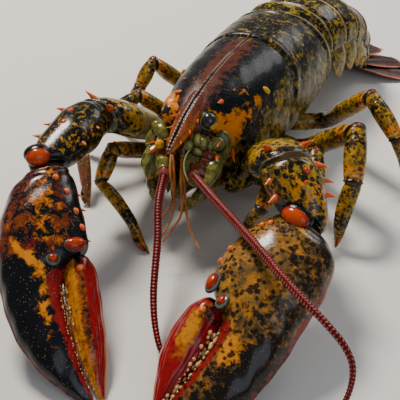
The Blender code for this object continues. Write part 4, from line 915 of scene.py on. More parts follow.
ANTENNA_BASE_R = ((-12.0, 4, 49, 5.0, 5.0), (-11.0, -6, 48, 6.0, 5.5), (-8.0, -15, 46, 4.6, 4.4),
                  (-3.9, -21.5, 43.2, 3.1, 3.1))
ANTENNA_BASE_L = ((12.0, 4, 49, 5.0, 5.0), (14.0, -5, 48, 6.2, 5.6), (13.5, -13, 46, 4.6, 4.4),
                  (11.6, -18.6, 44.1, 3.1, 3.1))
ANTENNULE_HAIRS = {
    "l": (((2.8, -14.3, 50.4), (5.5, -21, 41), (9.7, -29, 27.5), (8.6, -36.7, 21.5), (6.1, -43.6, 16.5)),
          ((3.6, -14.3, 50.4), (7.0, -20.5, 41), (10.0, -25, 30), (16.1, -33, 22), (26.3, -41.6, 17.5))),
    "r": (((-2.8, -14.3, 50.4), (1.6, -21.5, 43), (2.6, -24, 32), (0.6, -30, 24), (-3.0, -36, 19)),
          ((-3.4, -14.3, 50.4), (0.6, -23.5, 44), (4.6, -27, 32), (5.0, -34, 22), (2.5, -44, 15))),
}
RING_PITCH = 1.7
FILAMENT_RING_PITCH = 0.9


def arc_length(rows):
    """Length along the middle line of the rows, as a function of w."""
    fine = np.linspace(0.0, 1.0, 600)
    centres = read_rows(rows, fine)[:, :3]
    walked = np.concatenate(([0.0], np.cumsum(np.linalg.norm(np.diff(centres, axis=0), axis=1))))
    return lambda w: np.interp(w, fine, walked)


def make_antenna(letter, rows, long_count):
    """A long feeler of short rings: painted shade between, a pale dot or two of painted highlight on each
    crest.
    """
    rows = [row + (row[3],) for row in rows]
    length = arc_length(rows)

    def relief(u, w, here):
        ring = 0.5 - 0.5 * np.cos(TAU * length(w) / RING_PITCH)
        return here[:, 3] * (0.13 * ring ** 2 - 0.06)

    def marks(points, u, w):
        # Painted shade in the furrows between rings, and painted highlights as pale dots on the ring crests
        turn = TAU * length(w) / RING_PITCH
        crest = (0.5 - 0.5 * np.cos(turn)) ** 3
        crest_glints = crest * rise(np.cos(TAU * u * 5), 0.2, 0.8)
        return paint(0.34 * (1.0 - crest), 0.0, 0.0, 0.6 * crest_glints * (1.0 - rise(w, 0.6, 0.95)))

    limb_piece("antenna_%s_whip" % letter, rows, 18, long_count, ANTENNA_LOOK, marks, "antenna_shell",
               "antenna_" + letter, start="flat", end="point", relief=relief)


def make_filament(name, rows):
    """A thin filament with fine rings."""
    length = arc_length(rows)

    def turn(w):
        return np.cos(TAU * length(w) / FILAMENT_RING_PITCH)

    limb_piece(name, rows, 12, 240, FILAMENT_LOOK, lambda p, u, w: paint(0.35 * (0.5 + 0.5 * turn(w))),
               "antennule_shell", end="point", relief=lambda u, w, here: here[:, 3] * 0.08 * turn(w))


def plate_marks(points, u, w):
    """Pale edge and tip on a flat scale, dark middle."""
    edge = from_edge(u)
    pale = np.maximum(bump(edge, 0.025) * 0.7, rise(w, 0.88, 1.0) * 0.4)
    return paint(0.2 + 0.6 * bump(edge - 0.05, 0.03), 0.2, 0.15, pale)


def bulb_marks(points, u, w):
    """Red joint line, darker and ambered beyond it."""
    return paint(0.2 * rise(w, 0.5, 0.8), 0.25 * rise(w, 0.75, 1.0), 0.8 * bump(w - 0.62, 0.07))


def base_folds(u, w, here):
    """Joint furrows of a long feeler's base, and the lip round its socket."""
    return -0.9 * bump(w - 0.36, 0.035) - 0.8 * bump(w - 0.68, 0.035) + 0.35 * bump(w - 0.95, 0.04)


def stem_folds(u, w, here):
    """Joint furrows of a small feeler's stem."""
    return -0.5 * bump(w - 0.45, 0.04) - 0.5 * bump(w - 0.75, 0.04)


def make_feelers():
    """Both pairs of feelers with their jointed bases, scales and spines."""
    make_antenna("r", ANTENNA_R, 900)
    make_antenna("l", ANTENNA_L, 1500)
    slot = "antenna_base_shell"
    thorns = []
    for side, letter in SIDE_NAMES:
        rows = ANTENNA_BASE_R if side < 0 else ANTENNA_BASE_L
        limb_piece("antenna_base_%s_joints" % letter, rows, 44, 90, HEAD_LOOK, bulb_marks, slot,
                   "antenna_base_" + letter, relief=base_folds)
        root = vec(*rows[1][:3])
        scale = [(*(root + vec(side * x, y, z)), half, deep) for x, y, z, half, deep in
                 ((2.0, 1.0, 2.0, 2.6, 1.4), (5.0, -7.0, 0.5, 3.2, 1.2), (5.5, -13.0, -3.0, 2.4, 0.9),
                  (4.5, -17.0, -5.5, 0.6, 0.5))]
        limb_piece("antenna_scale_" + letter, scale, 36, 50, HEAD_LOOK, plate_marks, slot, up=(0, -0.3, 1),
                   square=2.3, end="point")
        thorns.append(thorn(root + vec(side * 5.0, -2.0, 2.5), (side * 0.5, -1, 0.2), 6.0, 1.5,
                            (0, -0.1, 0.12)))
        stem = ((side * 3.8, 0, 55, 2.6, 2.6), (side * 3.4, -8, 52.5, 2.2, 2.2),
                (side * 3.0, -15, 50, 1.6, 1.6))
        limb_piece("antennule_%s_stem" % letter, stem, 28, 50, HEAD_LOOK, bulb_marks, "antennule_shell",
                   "antennule_" + letter, relief=stem_folds)
        for k, route in enumerate(ANTENNULE_HAIRS[letter]):
            line = [(x, y, z, 0.92 - 0.13 * i, 0.92 - 0.13 * i) for i, (x, y, z) in enumerate(route)]
            make_filament("antennule_%s_filament_%d" % (letter, k + 1), line)
    joined("antenna_base_spines", thorns, 12, 10, SPINE_LOOK, tip_marks, slot)


def face_marks(points, u, w):
    """Olive plates: a pale rim at the sides, a dark red hollow at the root, painted shade underneath."""
    # Painted shade: darker on the side turned away from FACE_UP
    under = rise(np.abs(u - 0.5), 0.3, 0.1)
    return paint(0.5 * bump(w - 0.15, 0.12) + 0.7 * under, 0.2, 0.5 * bump(w - 0.1, 0.1),
                 0.8 * bump(from_edge(u), 0.03))


def orange_rim_marks(points, u, w):
    """Olive plate with an orange border."""
    rim = np.maximum(bump(from_edge(u), 0.07), rise(w, 0.8, 0.95))
    return paint(0.2 * (1 - rim), rim * 1.1, 0.25 * rim, 0.2 * bump(from_edge(u), 0.03))


def bead_marks(points, u, w):
    """Olive bead with a painted highlight on top and painted shade round its foot, where beads meet."""
    return paint(0.85 * rise(w, 0.22, 0.42), 0.25, 0.0, 0.2 * (1.0 - rise(w, 0.0, 0.22)))


FACE_UP = (0.36, -0.66, 0.66)
# Plates of the face: name, rows and marks
FACE_PLATES = (
    ("left_antenna_scale", ((12.0, 2.0, 55.0, 2.0, 1.6), (15.1, 2.6, 57.6, 3.0, 1.9),
                            (18.6, 3.0, 56.0, 3.2, 1.9), (20.6, 1.4, 51.5, 2.4, 1.5),
                            (20.2, -1.0, 46.5, 1.2, 0.9), (19.9, -2.6, 43.4, 0.4, 0.4)), face_marks),
    ("left_front_plate", ((5.6, -8.4, 52.5, 2.0, 1.6), (8.2, -12.2, 49.2, 5.0, 2.3),
                          (11.2, -16.0, 45.2, 5.6, 2.4), (12.4, -19.4, 41.6, 4.4, 2.0),
                          (12.8, -21.4, 39.2, 2.2, 1.2)), face_marks),
    ("left_outer_plate", ((14.4, -2.6, 51.6, 2.4, 2.4), (18.0, -5.4, 48.6, 3.2, 2.6),
                          (19.4, -9.6, 44.6, 3.3, 2.4), (18.2, -15.0, 40.6, 2.8, 2.0),
                          (15.4, -19.0, 38.0, 1.8, 1.4)), face_marks),
    ("right_upper_plate", ((-19.8, -1.6, 58.4, 1.6, 1.2), (-16.2, -4.6, 58.4, 3.2, 2.0),
                           (-12.2, -7.4, 57.2, 3.4, 2.0), (-9.0, -10.0, 55.0, 2.0, 1.4)), face_marks),
    ("right_rim_plate", ((-16.6, -4.0, 57.0, 1.4, 1.2), (-18.4, -6.4, 54.0, 2.6, 1.3),
                         (-18.6, -9.6, 50.6, 2.6, 1.2), (-16.6, -12.6, 47.4, 1.0, 0.8)), orange_rim_marks),
    ("right_cheek_plate", ((-9.4, -11.0, 50.0, 2.4, 1.8), (-12.8, -14.0, 45.0, 3.8, 2.0),
                           (-14.8, -16.6, 39.6, 3.6, 1.8), (-14.6, -18.6, 33.6, 2.0, 1.2)), orange_rim_marks),
)
# Knobs of the face: centre, radius, flatness, stretch and the way it is stretched
ROOT_DOWN = (0.35, -0.4, -0.8)
ROOT_BULBS = (
    ((9.0, -5.4, 55.4), 5.2, 0.8, 1.1, (1, 0.2, 0.4)), ((5.0, -6.2, 58.0), 2.7, 1.0, 1.45, ROOT_DOWN),
    ((8.2, -7.2, 57.6), 2.9, 1.05, 1.5, ROOT_DOWN), ((11.4, -7.0, 56.2), 2.8, 1.0, 1.4, ROOT_DOWN),
    ((13.9, -5.4, 54.6), 2.3, 1.0, 1.3, ROOT_DOWN), ((9.6, -10.4, 53.2), 2.6, 0.9, 1.3, (1, 0.1, -0.3)),
    ((4.6, -9.6, 55.2), 3.4, 0.9, 1.2, (0.4, -0.4, -0.8)), ((16.4, -1.4, 54.2), 4.4, 0.85, 1.1, (1, 0, 0)),
    ((-15.6, -4.0, 57.4), 4.0, 0.85, 1.3, (1, -0.2, 0)),
    ((-5.4, -10.4, 54.0), 3.2, 0.9, 1.2, (0.4, -0.4, -0.8)))
ROOT_HOLLOWS = (
    ((15.2, -9.6, 51.8), 3.0, 0.6, 1.3, (1, 0, -0.6)), ((13.4, -17.0, 47.2), 3.4, 0.4, 1.5, (1, -0.3, -0.2)),
    ((-8.6, -13.6, 47.4), 2.6, 0.5, 1.2, (1, 0, 0)), ((2.0, -12.4, 54.0), 2.2, 0.4, 1.5, (0.3, -0.5, -0.8)))
PLATE_RIM_ROWS = ((6.3, -12.6, 54.6, 0.3, 0.3), (5.2, -15.0, 51.8, 0.42, 0.42), (5.5, -17.8, 48.6, 0.5, 0.5),
                  (7.4, -20.4, 45.6, 0.5, 0.5), (10.4, -22.4, 42.6, 0.3, 0.3))
PALP_ROWS = ((-5.3, -11.0, 45.6, 0.7, 0.5), (-5.0, -13.4, 43.0, 1.7, 0.7), (-4.9, -15.6, 40.4, 1.9, 0.7),
             (-4.8, -17.6, 37.2, 0.4, 0.4))
COLLAR_ROWS = ((-4.0, 3.4), (-1.0, 3.5), (1.2, 3.1), (3.0, 2.55))


def make_face():
    """Glossy bulbs and plates at the feelers' roots, between the eyes and the mouth."""
    slot = "antenna_base_shell"
    for name, rows, marks in FACE_PLATES:
        limb_piece(name, rows, 44, 70, HEAD_LOOK, marks, slot, up=FACE_UP, square=2.3)
    bulbs, hollows = ([ball(centre, FACE_UP, *form) for centre, *form in knobs]
                      for knobs in (ROOT_BULBS, ROOT_HOLLOWS))
    joined("feeler_root_bulbs", bulbs, 40, 28, HEAD_LOOK, bead_marks, slot)
    # Red domes, darkened round their feet with painted shade
    joined("feeler_root_hollows", hollows, 28, 18, HEAD_LOOK,
           lambda p, u, w: paint(0.1 + 0.8 * rise(w, 0.25, 0.42), 0.0, 1.3), slot)
    limb_piece("front_plate_rim", PLATE_RIM_ROWS, 16, 50, HEAD_LOOK,
               lambda p, u, w: paint(0.0, 0.3, 0.0, 0.95), slot)
    joined("cheek_yellow_knob", [ball((-10.9, -12.9, 53.6), FACE_UP, 2.5, 0.8)], 24, 16, YELLOW_LOOK, None,
           slot)
    spines = (thorn((-12.1, -13.4, 51.4), (-4.8, -4.5, -4.0), 6.6, 1.4, (-0.1, 0, 0.1)),
              thorn((19.6, 3.4, 47.6), (0.1, -0.7, -1.0), 5.0, 1.3, (0, 0, -0.05)),
              thorn((22.4, 5.0, 48.6), (0.5, -0.5, -1.0), 6.4, 1.3, (0, 0, -0.05)),
              thorn((4.6, -2.2, 63.6), (0.3, -0.6, 0.6), 3.6, 1.6, (0, -0.05, 0.1)))
    joined("face_spines", spines, 14, 12, SPINE_LOOK, tip_marks, slot)
    limb_piece("cream_palp", PALP_ROWS, 28, 40, TOOTH_LOOK, lambda p, u, w: paint(0.0, 0.5),
               "mouthpart_shell", up=FACE_UP, end="point")
    for side, letter in SIDE_NAMES:
        root, second = (vec(*row[:3]) for row in (ANTENNA_R if side < 0 else ANTENNA_L)[:2])
        ahead = unit(second - root)
        rows = [(*(root + ahead * d), r, r) for d, r in COLLAR_ROWS]
        limb_piece("feeler_collar_" + letter, rows, 32, 36, ANTENNA_LOOK,
                   lambda p, u, w: paint(0.1, 0.0, 0.0, 0.12 * rise(w, 0.3, 0.5)), "antenna_shell")


# Left outer jaw, the bristles on each, and the plates between the jaws: place and reach
JAW_ROWS = ((8.0, 10, 24, 4.2, 4.2), (12.5, -2, 29, 4.4, 4.0), (15.0, -12, 32, 4.0, 3.6),
            (12.0, -20, 29, 2.9, 2.9), (6.0, -25, 24, 1.5, 1.8))
JAW_HAIRS = 60
MOUTH_PLATES = ((6.5, -9.0, 40.0, 5.0), (5.0, -13.0, 36.0, 4.2), (4.0, -10.0, 31.0, 4.6))


def make_mouth():
    """Outer jaws with their fringe, and the small plates under the rostrum."""
    slot = "mouthpart_shell"
    hairs = []
    for side, letter in SIDE_NAMES:
        rows = [(side * x, y, z, half, deep) for x, y, z, half, deep in JAW_ROWS]
        limb_piece("outer_jaw_" + letter, rows, 36, 90, HEAD_LOOK,
                   lambda p, u, w: paint(0.35, 0.6 * bump(w - 0.5, 0.06) + 0.25, 0.2), slot,
                   "maxilliped_" + letter,
                   relief=lambda u, w, here: -0.8 * bump(w - 0.5, 0.03) - 0.7 * bump(w - 0.75, 0.03))
        for k in range(JAW_HAIRS):
            t = 0.35 + 0.6 * k / (JAW_HAIRS - 1.0)
            x, y, z, half, _ = read_rows(rows, np.array([t]))[0]
            lean = (-side * 1.0, -0.35 + RNG.uniform(-0.3, 0.3), RNG.uniform(-0.5, 0.3))
            hairs.append(thorn((x - side * half * 0.8, y, z), lean, RNG.uniform(1.8, 3.2), 0.2))
        for j, (x, y, z, reach) in enumerate(MOUTH_PLATES):
            plate = ((side * (x + 3.0), y + 8.0, z, 3.4, 1.2), (side * x, y, z, reach * 0.75, 1.5),
                     (side * (x - 2.0), y - 6.0, z - 3.0, reach * 0.45, 0.9),
                     (side * (x - 3.2), y - 9.0, z - 5.0, 0.5, 0.5))
            limb_piece("mouth_plate_%s_%d" % (letter, j + 1), plate, 28, 40, HEAD_LOOK, plate_marks, slot,
                       up=(side * 0.6, -0.5, 0.7), end="point")
    joined("jaw_bristles", hairs, *HAIR_GRID, HAIR_LOOK, None, slot)


# Underside of the thorax, and how many segments show on it
UNDERSIDE_ROWS = ((0, 4.0, 25.5, 9.0, 6.5), (0, 16.0, 24.0, 14.0, 9.0), (0, 40.0, 22.0, 18.0, 11.0),
                  (0, 80.0, 22.0, 20.0, 11.0), (0, 108.0, 24.0, 18.0, 10.0), (0, 126.0, 29.0, 13.0, 7.0))
UNDERSIDE_SEGMENTS = 5.6


def make_underside():
    """Breast plate with a rib for each segment."""
    def ribs(w):
        return np.cos(TAU * w * UNDERSIDE_SEGMENTS)

    limb_piece("breast_plate", UNDERSIDE_ROWS, 60, 90, UNDERSIDE_LOOK,
               lambda p, u, w: paint(0.1, 0.4 * bump(ribs(w), 0.4), 0.25), "underside_shell",
               "thorax_underside", square=3.0, relief=lambda u, w, here: 0.7 * ribs(w) * bump(u - 0.5, 0.2))


# Claws: rows of distance from the wrist, outer edge, inner edge and half thickness,
# in hundredths of the claw's length
CUTTER_PALM = ((0.9, -7.8, 7.4, 7.0), (7.8, -16.5, 9.6, 9.1), (19.5, -22.4, 9.8, 10.9),
               (31.0, -26.0, 9.8, 10.9), (39.5, -27.2, 8.6, 10.4), (45.5, -27.2, 0.5, 9.4),
               (52.0, -27.0, -4.0, 8.7), (61.0, -26.4, -4.6, 7.9), (71.3, -23.9, -4.4, 7.0),
               (84.3, -17.8, -3.2, 5.2), (93.9, -10.0, -1.8, 3.3), (98.3, -5.7, -1.2, 1.7),
               (99.9, -3.4, -2.2, 0.3))
CUTTER_DACTYL = ((42.0, -0.9, 6.6, 4.3), (45.0, -2.6, 8.8, 6.5), (52.5, -3.6, 9.4, 7.3),
                 (64.0, -4.1, 8.9, 6.8), (76.5, -3.6, 7.7, 5.7), (88.7, -2.0, 5.4, 4.0),
                 (97.4, 0.2, 3.1, 1.9), (99.4, 1.9, 2.7, 0.3))
CRUSHER_PALM = ((0.9, -12.6, 8.9, 8.4), (7.5, -21.8, 14.0, 11.7), (18.5, -25.2, 17.6, 14.0),
                (30.5, -26.2, 18.6, 15.0), (40.0, -26.6, 17.0, 14.4), (47.5, -26.9, 12.0, 13.2),
                (54.0, -27.2, 2.6, 11.8), (60.5, -27.1, -0.4, 10.6), (68.0, -26.5, -0.8, 9.5),
                (76.0, -25.2, -0.9, 8.3), (86.0, -20.1, -0.4, 6.2), (94.4, -11.2, 0.2, 3.7),
                (98.1, -6.5, -0.4, 2.1), (100.2, -3.8, -2.6, 0.3))
CRUSHER_DACTYL = ((49.5, 4.4, 12.0, 5.2), (53.0, 2.4, 15.0, 8.0), (60.0, 0.8, 17.4, 9.2),
                  (70.0, -0.1, 17.4, 8.8), (80.4, -0.1, 14.6, 7.1), (90.7, 0.9, 9.0, 4.7),
                  (97.2, 2.2, 5.2, 2.2), (99.4, 4.0, 4.8, 0.3))
# Teeth: count in a row, height and size. Hinge knobs: distance and place across in hundredths of the
# claw's length, share of the half thickness, radius, stretch, and how many times as wide the cuff is.
# Tubercles: distance from the wrist and place across in mm. Knuckle: distance, across and rise in mm,
# radius and stretch. Girth: half width and half depth of the arm
CUTTER = dict(letter="r", sign=-1, wrist=vec(-46.0, -61.0, 57.0), tip=vec(23.0, -134.0, 0.2),
              length=115.0, roll=0.0, palm=CUTTER_PALM, dactyl=CUTTER_DACTYL, teeth=(34, 0.8, 0.62),
              hinge_knobs=((40.0, 3.6, 0.97, 3.3, 1.45, 1.12), (43.8, -5.8, 0.97, 2.2, 1.0, 1.6)),
              tubercles=((10.5, 1.9), (18.5, 5.6), (28.5, 7.8), (36.4, 9.0)),
              margin_spines=(16.0, 24.0, 40.0), knuckle=(-2.6, -4.2, 8.0, 4.6, 1.28),
              elbow=vec(-48.0, -15.5, 62.0), shoulder=vec(-34.0, 20.0, 41.0), hip=vec(-14.0, 18.0, 18.0),
              girth=(13.0, 11.0))
CRUSHER = dict(letter="l", sign=1, wrist=vec(75.0, -35.0, 46.0), tip=vec(50.5, -128.0, 2.2),
               length=107.0, roll=0.15, palm=CRUSHER_PALM, dactyl=CRUSHER_DACTYL, teeth=(17, 1.0, 1.25),
               hinge_knobs=((45.4, 12.8, 0.72, 2.9, 1.5, 1.3), (50.5, 4.0, 0.95, 2.1, 1.2, 1.6)),
               tubercles=((11.5, 8.2), (14.0, 11.0), (30.5, 17.0), (37.0, 18.0)),
               margin_spines=(20.0, 26.0), knuckle=(3.0, 0.6, 10.2, 4.7, 1.5),
               elbow=vec(60.0, -17.0, 63.0), shoulder=vec(34.0, 16.0, 41.0), hip=vec(14.0, 18.0, 18.0),
               girth=(15.0, 13.0))
CLAW_LONG = 180
# Teeth stand in three rows on each biting edge: height of the row as a share of the half thickness, and
# the share of the full size. Every fifth tooth is large
TOOTH_ROWS = ((0.56, 0.65), (0.25, 0.85), (-0.05, 1.0))
LARGE_TOOTH = 1.5
# Fullness of a claw's section, and of its biting side, where 2 is an ellipse
CLAW_FULLNESS = 2.2
BITING_FULLNESS = 3.1


def claw_frame(claw):
    """Axis, inward side and upper side of a claw."""
    axis = unit(claw["tip"] - claw["wrist"])
    level = unit(np.cross(axis, vec(0, 0, 1))) * claw["sign"]
    above = unit(np.cross(level, axis)) * claw["sign"]
    roll = claw["roll"]
    return (axis, level * math.cos(roll) + above * math.sin(roll),
            above * math.cos(roll) - level * math.sin(roll))


def claw_rows(claw, kind):
    """Rows of the palm or the movable finger in mm."""
    return np.array(claw[kind]) * claw["length"] / 100.0


def claw_shape(claw, kind):
    """Surface of the hand or its movable finger, with a keeled outer edge and shallow furrows."""
    rows = claw_rows(claw, kind)
    axis, inward, above = claw_frame(claw)
    wrist = claw["wrist"]
    finger = kind == "dactyl"

    def shape(u, w):
        distance, outer, inner, half = read_rows(rows, w).T
        share = end_profile(w, CLAW_LONG, "round", "point")
        angle = TAU * u
        keel = bump(u - (0.25 if finger else 0.75), 0.022) * rise(w, 0.08, 0.2) * (1 - rise(w, 0.9, 1.0))
        furrow = bump(np.minimum(np.abs(u - 0.12), np.abs(u - 0.88)) - 0.02, 0.035) if finger else 0.0
        swell = 0.28 * np.sin(distance * 0.33 + 4.0 * np.sin(angle)) * np.sin(angle * 3 + distance * 0.12)
        extra = (0.8 * keel - 0.7 * furrow * rise(w, 0.1, 0.3) * (1 - rise(w, 0.8, 0.95))
                 + swell * (1 - rise(w, 0.7, 1)))
        if not finger:
            extra = extra - 0.9 * bump(w - 0.055, 0.022)
            extra = extra - 0.8 * bump(u - 0.16, 0.03) * rise(w, 0.5, 0.6) * (1 - rise(w, 0.85, 1.0))
        mid, wide = (outer + inner) / 2, (inner - outer) / 2
        biting = (np.sin(angle) < 0) if finger else (np.sin(angle) > 0)
        fuller = np.where(biting, rise(w, 0.25, 0.5), 0.0)
        square = CLAW_FULLNESS + (BITING_FULLNESS - CLAW_FULLNESS) * fuller
        across = mid + power(np.sin(angle), 2 / square) * (wide * share + extra * np.minimum(1, share))
        rising = power(np.cos(angle), 2 / square) * (half * share + extra * np.minimum(1, share))
        return wrist + axis * distance[:, None] + inward * across[:, None] + above * rising[:, None]
    return shape


def cutter_palm_marks(points, u, w):
    """Mottled wrist half, an amber streak that wanders inwards, black outer half, crimson biting edge."""
    a = np.sin(TAU * u)
    middle = np.interp(w, (0.1, 0.2, 0.31, 0.43, 0.53, 0.7, 0.8), (-0.85, -0.75, -0.5, 0.1, 0.2, 0.05, 0.0))
    streak = bump(a - middle, 0.07 + 0.12 * rise(w, 0.2, 0.45)) * rise(w, 0.1, 0.4)
    streak = streak * (1.0 - rise(w, 0.6, 0.8))
    wrist_half = 1.0 - rise(w, 0.3, 0.42)
    edge = rise(a, 0.2, 0.55) * rise(w, 0.4, 0.48)
    dark = 0.53 + 0.45 * (1.0 - wrist_half) + 0.3 * rise(a, 0.55, 0.9) * wrist_half - 0.55 * streak
    dark = dark - 0.7 * edge - 0.5 * rise(-a, 0.95, 1.0) - 0.3 * rise(w, 0.93, 1.0)
    amber = 0.95 * streak + 0.5 * bump(a - 0.1, 0.45) * wrist_half
    red = 0.25 * wrist_half + edge + 0.95 * rise(-a, 0.95, 0.99) + 0.6 * rise(w, 0.9, 0.96)
    return paint(dark, amber, red, 0.5 * rise(w, 0.97, 1.0))


def crusher_palm_marks(points, u, w):
    """Tan with black spots, darker outwards; black and orange blotches on the finger half."""
    a = np.sin(TAU * u)
    edge = rise(a, 0.3, 0.6) * rise(w, 0.44, 0.52)
    low = rise(w, 0.36, 0.52)
    dark = 0.32 + 0.22 * rise(-a, 0.0, 0.7) + 0.16 * (1.0 - rise(w, 0.05, 0.16)) + 0.24 * low - 0.5 * edge
    dark = dark + 0.35 * bump(a + 0.4, 0.3) * bump(w - 0.62, 0.12)
    dark = dark - 0.35 * bump(a - 0.2, 0.25) * bump(w - 0.58, 0.06)
    dark = dark - 0.35 * rise(-a, 0.95, 1.0) - 0.2 * rise(w, 0.84, 0.92)
    amber = (0.3 + 0.7 * bump(a - 0.2, 0.3) * bump(w - 0.58, 0.08)) * (1.0 - edge) + 0.3 * rise(w, 0.84, 0.92)
    red = 1.1 * edge + 0.9 * rise(-a, 0.95, 0.99) + 0.5 * rise(w, 0.88, 0.95)
    return paint(dark, amber, red, 0.5 * rise(w, 0.96, 1.0))


def cutter_finger_marks(points, u, w):
    """Black root, amber inner half, crimson biting half with a pale edge."""
    a = np.sin(TAU * u)
    red = rise(a, -0.05, 0.3)
    dark = 0.22 + 0.6 * (1.0 - rise(w, 0.05, 0.22)) + 0.4 * bump(a - 0.05, 0.16) * (1.0 - rise(w, 0.5, 0.8))
    amber = 0.6 * rise(-a, 0.0, 0.3)
    pale = 0.6 * rise(a, 0.965, 1.0) * rise(w, 0.4, 0.6) + 0.7 * rise(w, 0.965, 1.0)
    return paint(dark, amber, red, pale)


def crusher_finger_marks(points, u, w):
    """Crimson with an amber patch near the root and pale edge and tip."""
    a = np.sin(TAU * u)
    patch = bump(w - 0.36, 0.2) * bump(a + 0.05, 0.5)
    dark = 0.22 + 0.5 * bump(w - 0.2, 0.1) * bump(a + 0.35, 0.5)
    dark = dark + 0.25 * bump(w - 0.06, 0.05) - 0.15 * rise(w, 0.7, 0.9)
    pale = 0.45 * rise(a, 0.97, 1.0) + 0.7 * rise(w, 0.965, 1.0)
    return paint(dark, 0.8 * patch, 1.0 - 0.95 * patch, pale)


def make_hand(claw):
    """Palm with its fixed finger, movable finger, teeth, hinge knobs, spines and the skin at the wrist."""
    axis, inward, above = claw_frame(claw)
    wrist, letter = claw["wrist"], claw["letter"]
    slender = letter == "r"
    slot = "cutter_claw_shell" if slender else "crusher_claw_shell"
    rolled("hand_" + letter, claw_shape(claw, "palm"), 150, CLAW_LONG,
           CUTTER_LOOK if slender else CRUSHER_LOOK,
           cutter_palm_marks if slender else crusher_palm_marks, "palm_" + letter)
    rolled("finger_" + letter, claw_shape(claw, "dactyl"), 110, CLAW_LONG, FINGER_LOOK,
           cutter_finger_marks if slender else crusher_finger_marks, "dactyl_" + letter)
    palm_rows, finger_rows = claw_rows(claw, "palm"), claw_rows(claw, "dactyl")

    def place(distance, across, rising):
        return wrist + axis * distance + inward * across + above * rising

    def section(rows, distance):
        """Middle, half width and half thickness at a distance from the wrist."""
        outer, inner, half = (float(np.interp(distance, rows[:, 0], rows[:, k])) for k in (1, 2, 3))
        return (outer + inner) / 2, (inner - outer) / 2, half

    def surface(rows, distance, across):
        """Place on the upper side, and the way the surface faces there."""
        mid, wide, half = section(rows, distance)
        beside = max(-0.98, min(0.98, (across - mid) / wide))
        height = half * (1.0 - abs(beside) ** CLAW_FULLNESS) ** (1.0 / CLAW_FULLNESS)
        return place(distance, across, height), unit(above + inward * beside * 1.1)

    teeth, thorns, knobs, cuffs = [], [], [], []
    count, height, size = claw["teeth"]
    first, last = finger_rows[2][0], finger_rows[-2][0] - 2.0
    pitch = (last - first) / count
    for k in range(count):
        t = (k + 0.3) / count
        large = LARGE_TOOTH if k % 5 == 2 else 1.0
        for rows, way, shift in ((palm_rows, 1, 0.0), (finger_rows, -1, 0.5)):
            for level, share in TOOTH_ROWS:
                at = first + (last - first) * t + pitch * (shift + RNG.uniform(-0.3, 0.3))
                grow = (0.6 + 0.75 * RNG.random()) * (1.15 - 0.5 * t) * large * share * size
                level = level + RNG.uniform(-0.12, 0.12)
                slope = (1.0 - abs(level) ** BITING_FULLNESS) ** (1.0 / BITING_FULLNESS)
                mid, wide, half = section(rows, at)
                spot = place(at + level * 2.0, mid + way * wide * slope * 0.96, half * level)
                lean = inward * way + above * (level * 0.8 + RNG.uniform(-0.2, 0.2))
                lean = lean + axis * RNG.uniform(-0.25, 0.25)
                teeth.append(ball(spot, lean, grow, height * RNG.uniform(0.8, 1.3),
                                  RNG.uniform(0.9, 1.4), axis))
    joined("teeth_" + letter, teeth, 10 if slender else 12, 7 if slender else 9, TOOTH_LOOK,
           lambda p, u, w: paint(0.0, 0.9 * rise(w, 0.3, 0.5), 0.6 * rise(w, 0.4, 0.6)), slot)
    warts = [ball(*surface(palm_rows, at, across), 1.6, 0.8, 1.15, axis) for at, across in claw["tubercles"]]
    for at in claw["margin_spines"]:
        mid, wide, half = section(palm_rows, at)
        lean = unit(inward + axis * 0.3)
        spot = place(at, (mid + wide) * 0.93, -half * 0.1) - lean
        thorns.append(thorn(spot, lean, 3.8 + RNG.random(), 1.7, axis * 0.12))
    facing = unit(above + inward * (0.2 if slender else 0.5))
    along = inward if slender else axis - inward * 0.3
    share = claw["length"] / 100.0
    for at, across, rising, size, stretch, collar in claw["hinge_knobs"]:
        spot = place(at * share, across * share, section(palm_rows, at * share)[2] * rising)
        knobs.append(ball(spot, facing, size, 0.7, stretch, along))
        cuffs.append(ball(spot - facing * size * 0.3, facing, size * collar, 0.6 / collar, stretch, along))
    joined("hinge_cuffs_" + letter, cuffs, 30, 18, CUFF_LOOK,
           lambda p, u, w: paint(0.3, 0.0, 0.0, 0.35 * bump(w - 0.32, 0.06)), slot)
    hinge, outer, inner, _ = finger_rows[1]
    warts.append(ball(*surface(finger_rows, hinge + 4.5, inner * 0.55 + outer * 0.45), 1.9, 0.7))
    # Warts: a painted highlight on the crown and painted shade round the foot
    joined("hand_%s_warts" % letter, warts, 24, 14, SPINE_LOOK,
           lambda p, u, w: paint(0.6 * rise(w, 0.3, 0.5), 0.0, 0.2, 0.4 * (1.0 - rise(w, 0.0, 0.2))), slot)
    # Knobs: amber crown, and painted shade round the foot where each meets the shell
    joined("hand_%s_knobs" % letter, knobs, 26, 16, KNOB_LOOK,
           lambda p, u, w: paint(0.5 * rise(w, 0.28, 0.46), 0.55 * (1.0 - rise(w, 0.1, 0.36)), 0.3), slot)
    joined("hand_%s_spines" % letter, thorns, 14, 12, SPINE_LOOK, tip_marks, slot)
    rows = [(*place(d, section(palm_rows, d)[0], 0), wide, wide * 0.8)
            for d, wide in ((-4.0, 6.5), (0.5, 7.6), (5.0, 7.2))]
    limb_piece("wrist_skin_" + letter, rows, 40, 30, MEMBRANE_LOOK, None, slot)


# Arm spines of the wrist piece: share along it, spread, rise and length; of the upper arm likewise
CARPUS_SPINES = ((0.2, 0.9, 0.45, 5.8), (0.42, 1.0, 0.2, 6.4), (0.68, 0.95, 0.3, 6.0), (0.35, -0.9, 0.4, 4.0),
                 (0.65, -0.92, 0.4, 4.0))
MERUS_SPINES = ((0.82, 0.8, 0.6, 6.5), (0.88, -0.7, 0.7, 5.0), (0.55, -0.75, 0.6, 4.0))
CARPUS_BEND = vec(0, 0, 2.5)
MERUS_ARCH = vec(0, 0, 2.0)


def outer_side(line, sign):
    """Level direction across a limb, away from the body."""
    side = unit(np.cross(line, vec(0, 0, 1)))
    return side if side[0] * sign > 0 else -side


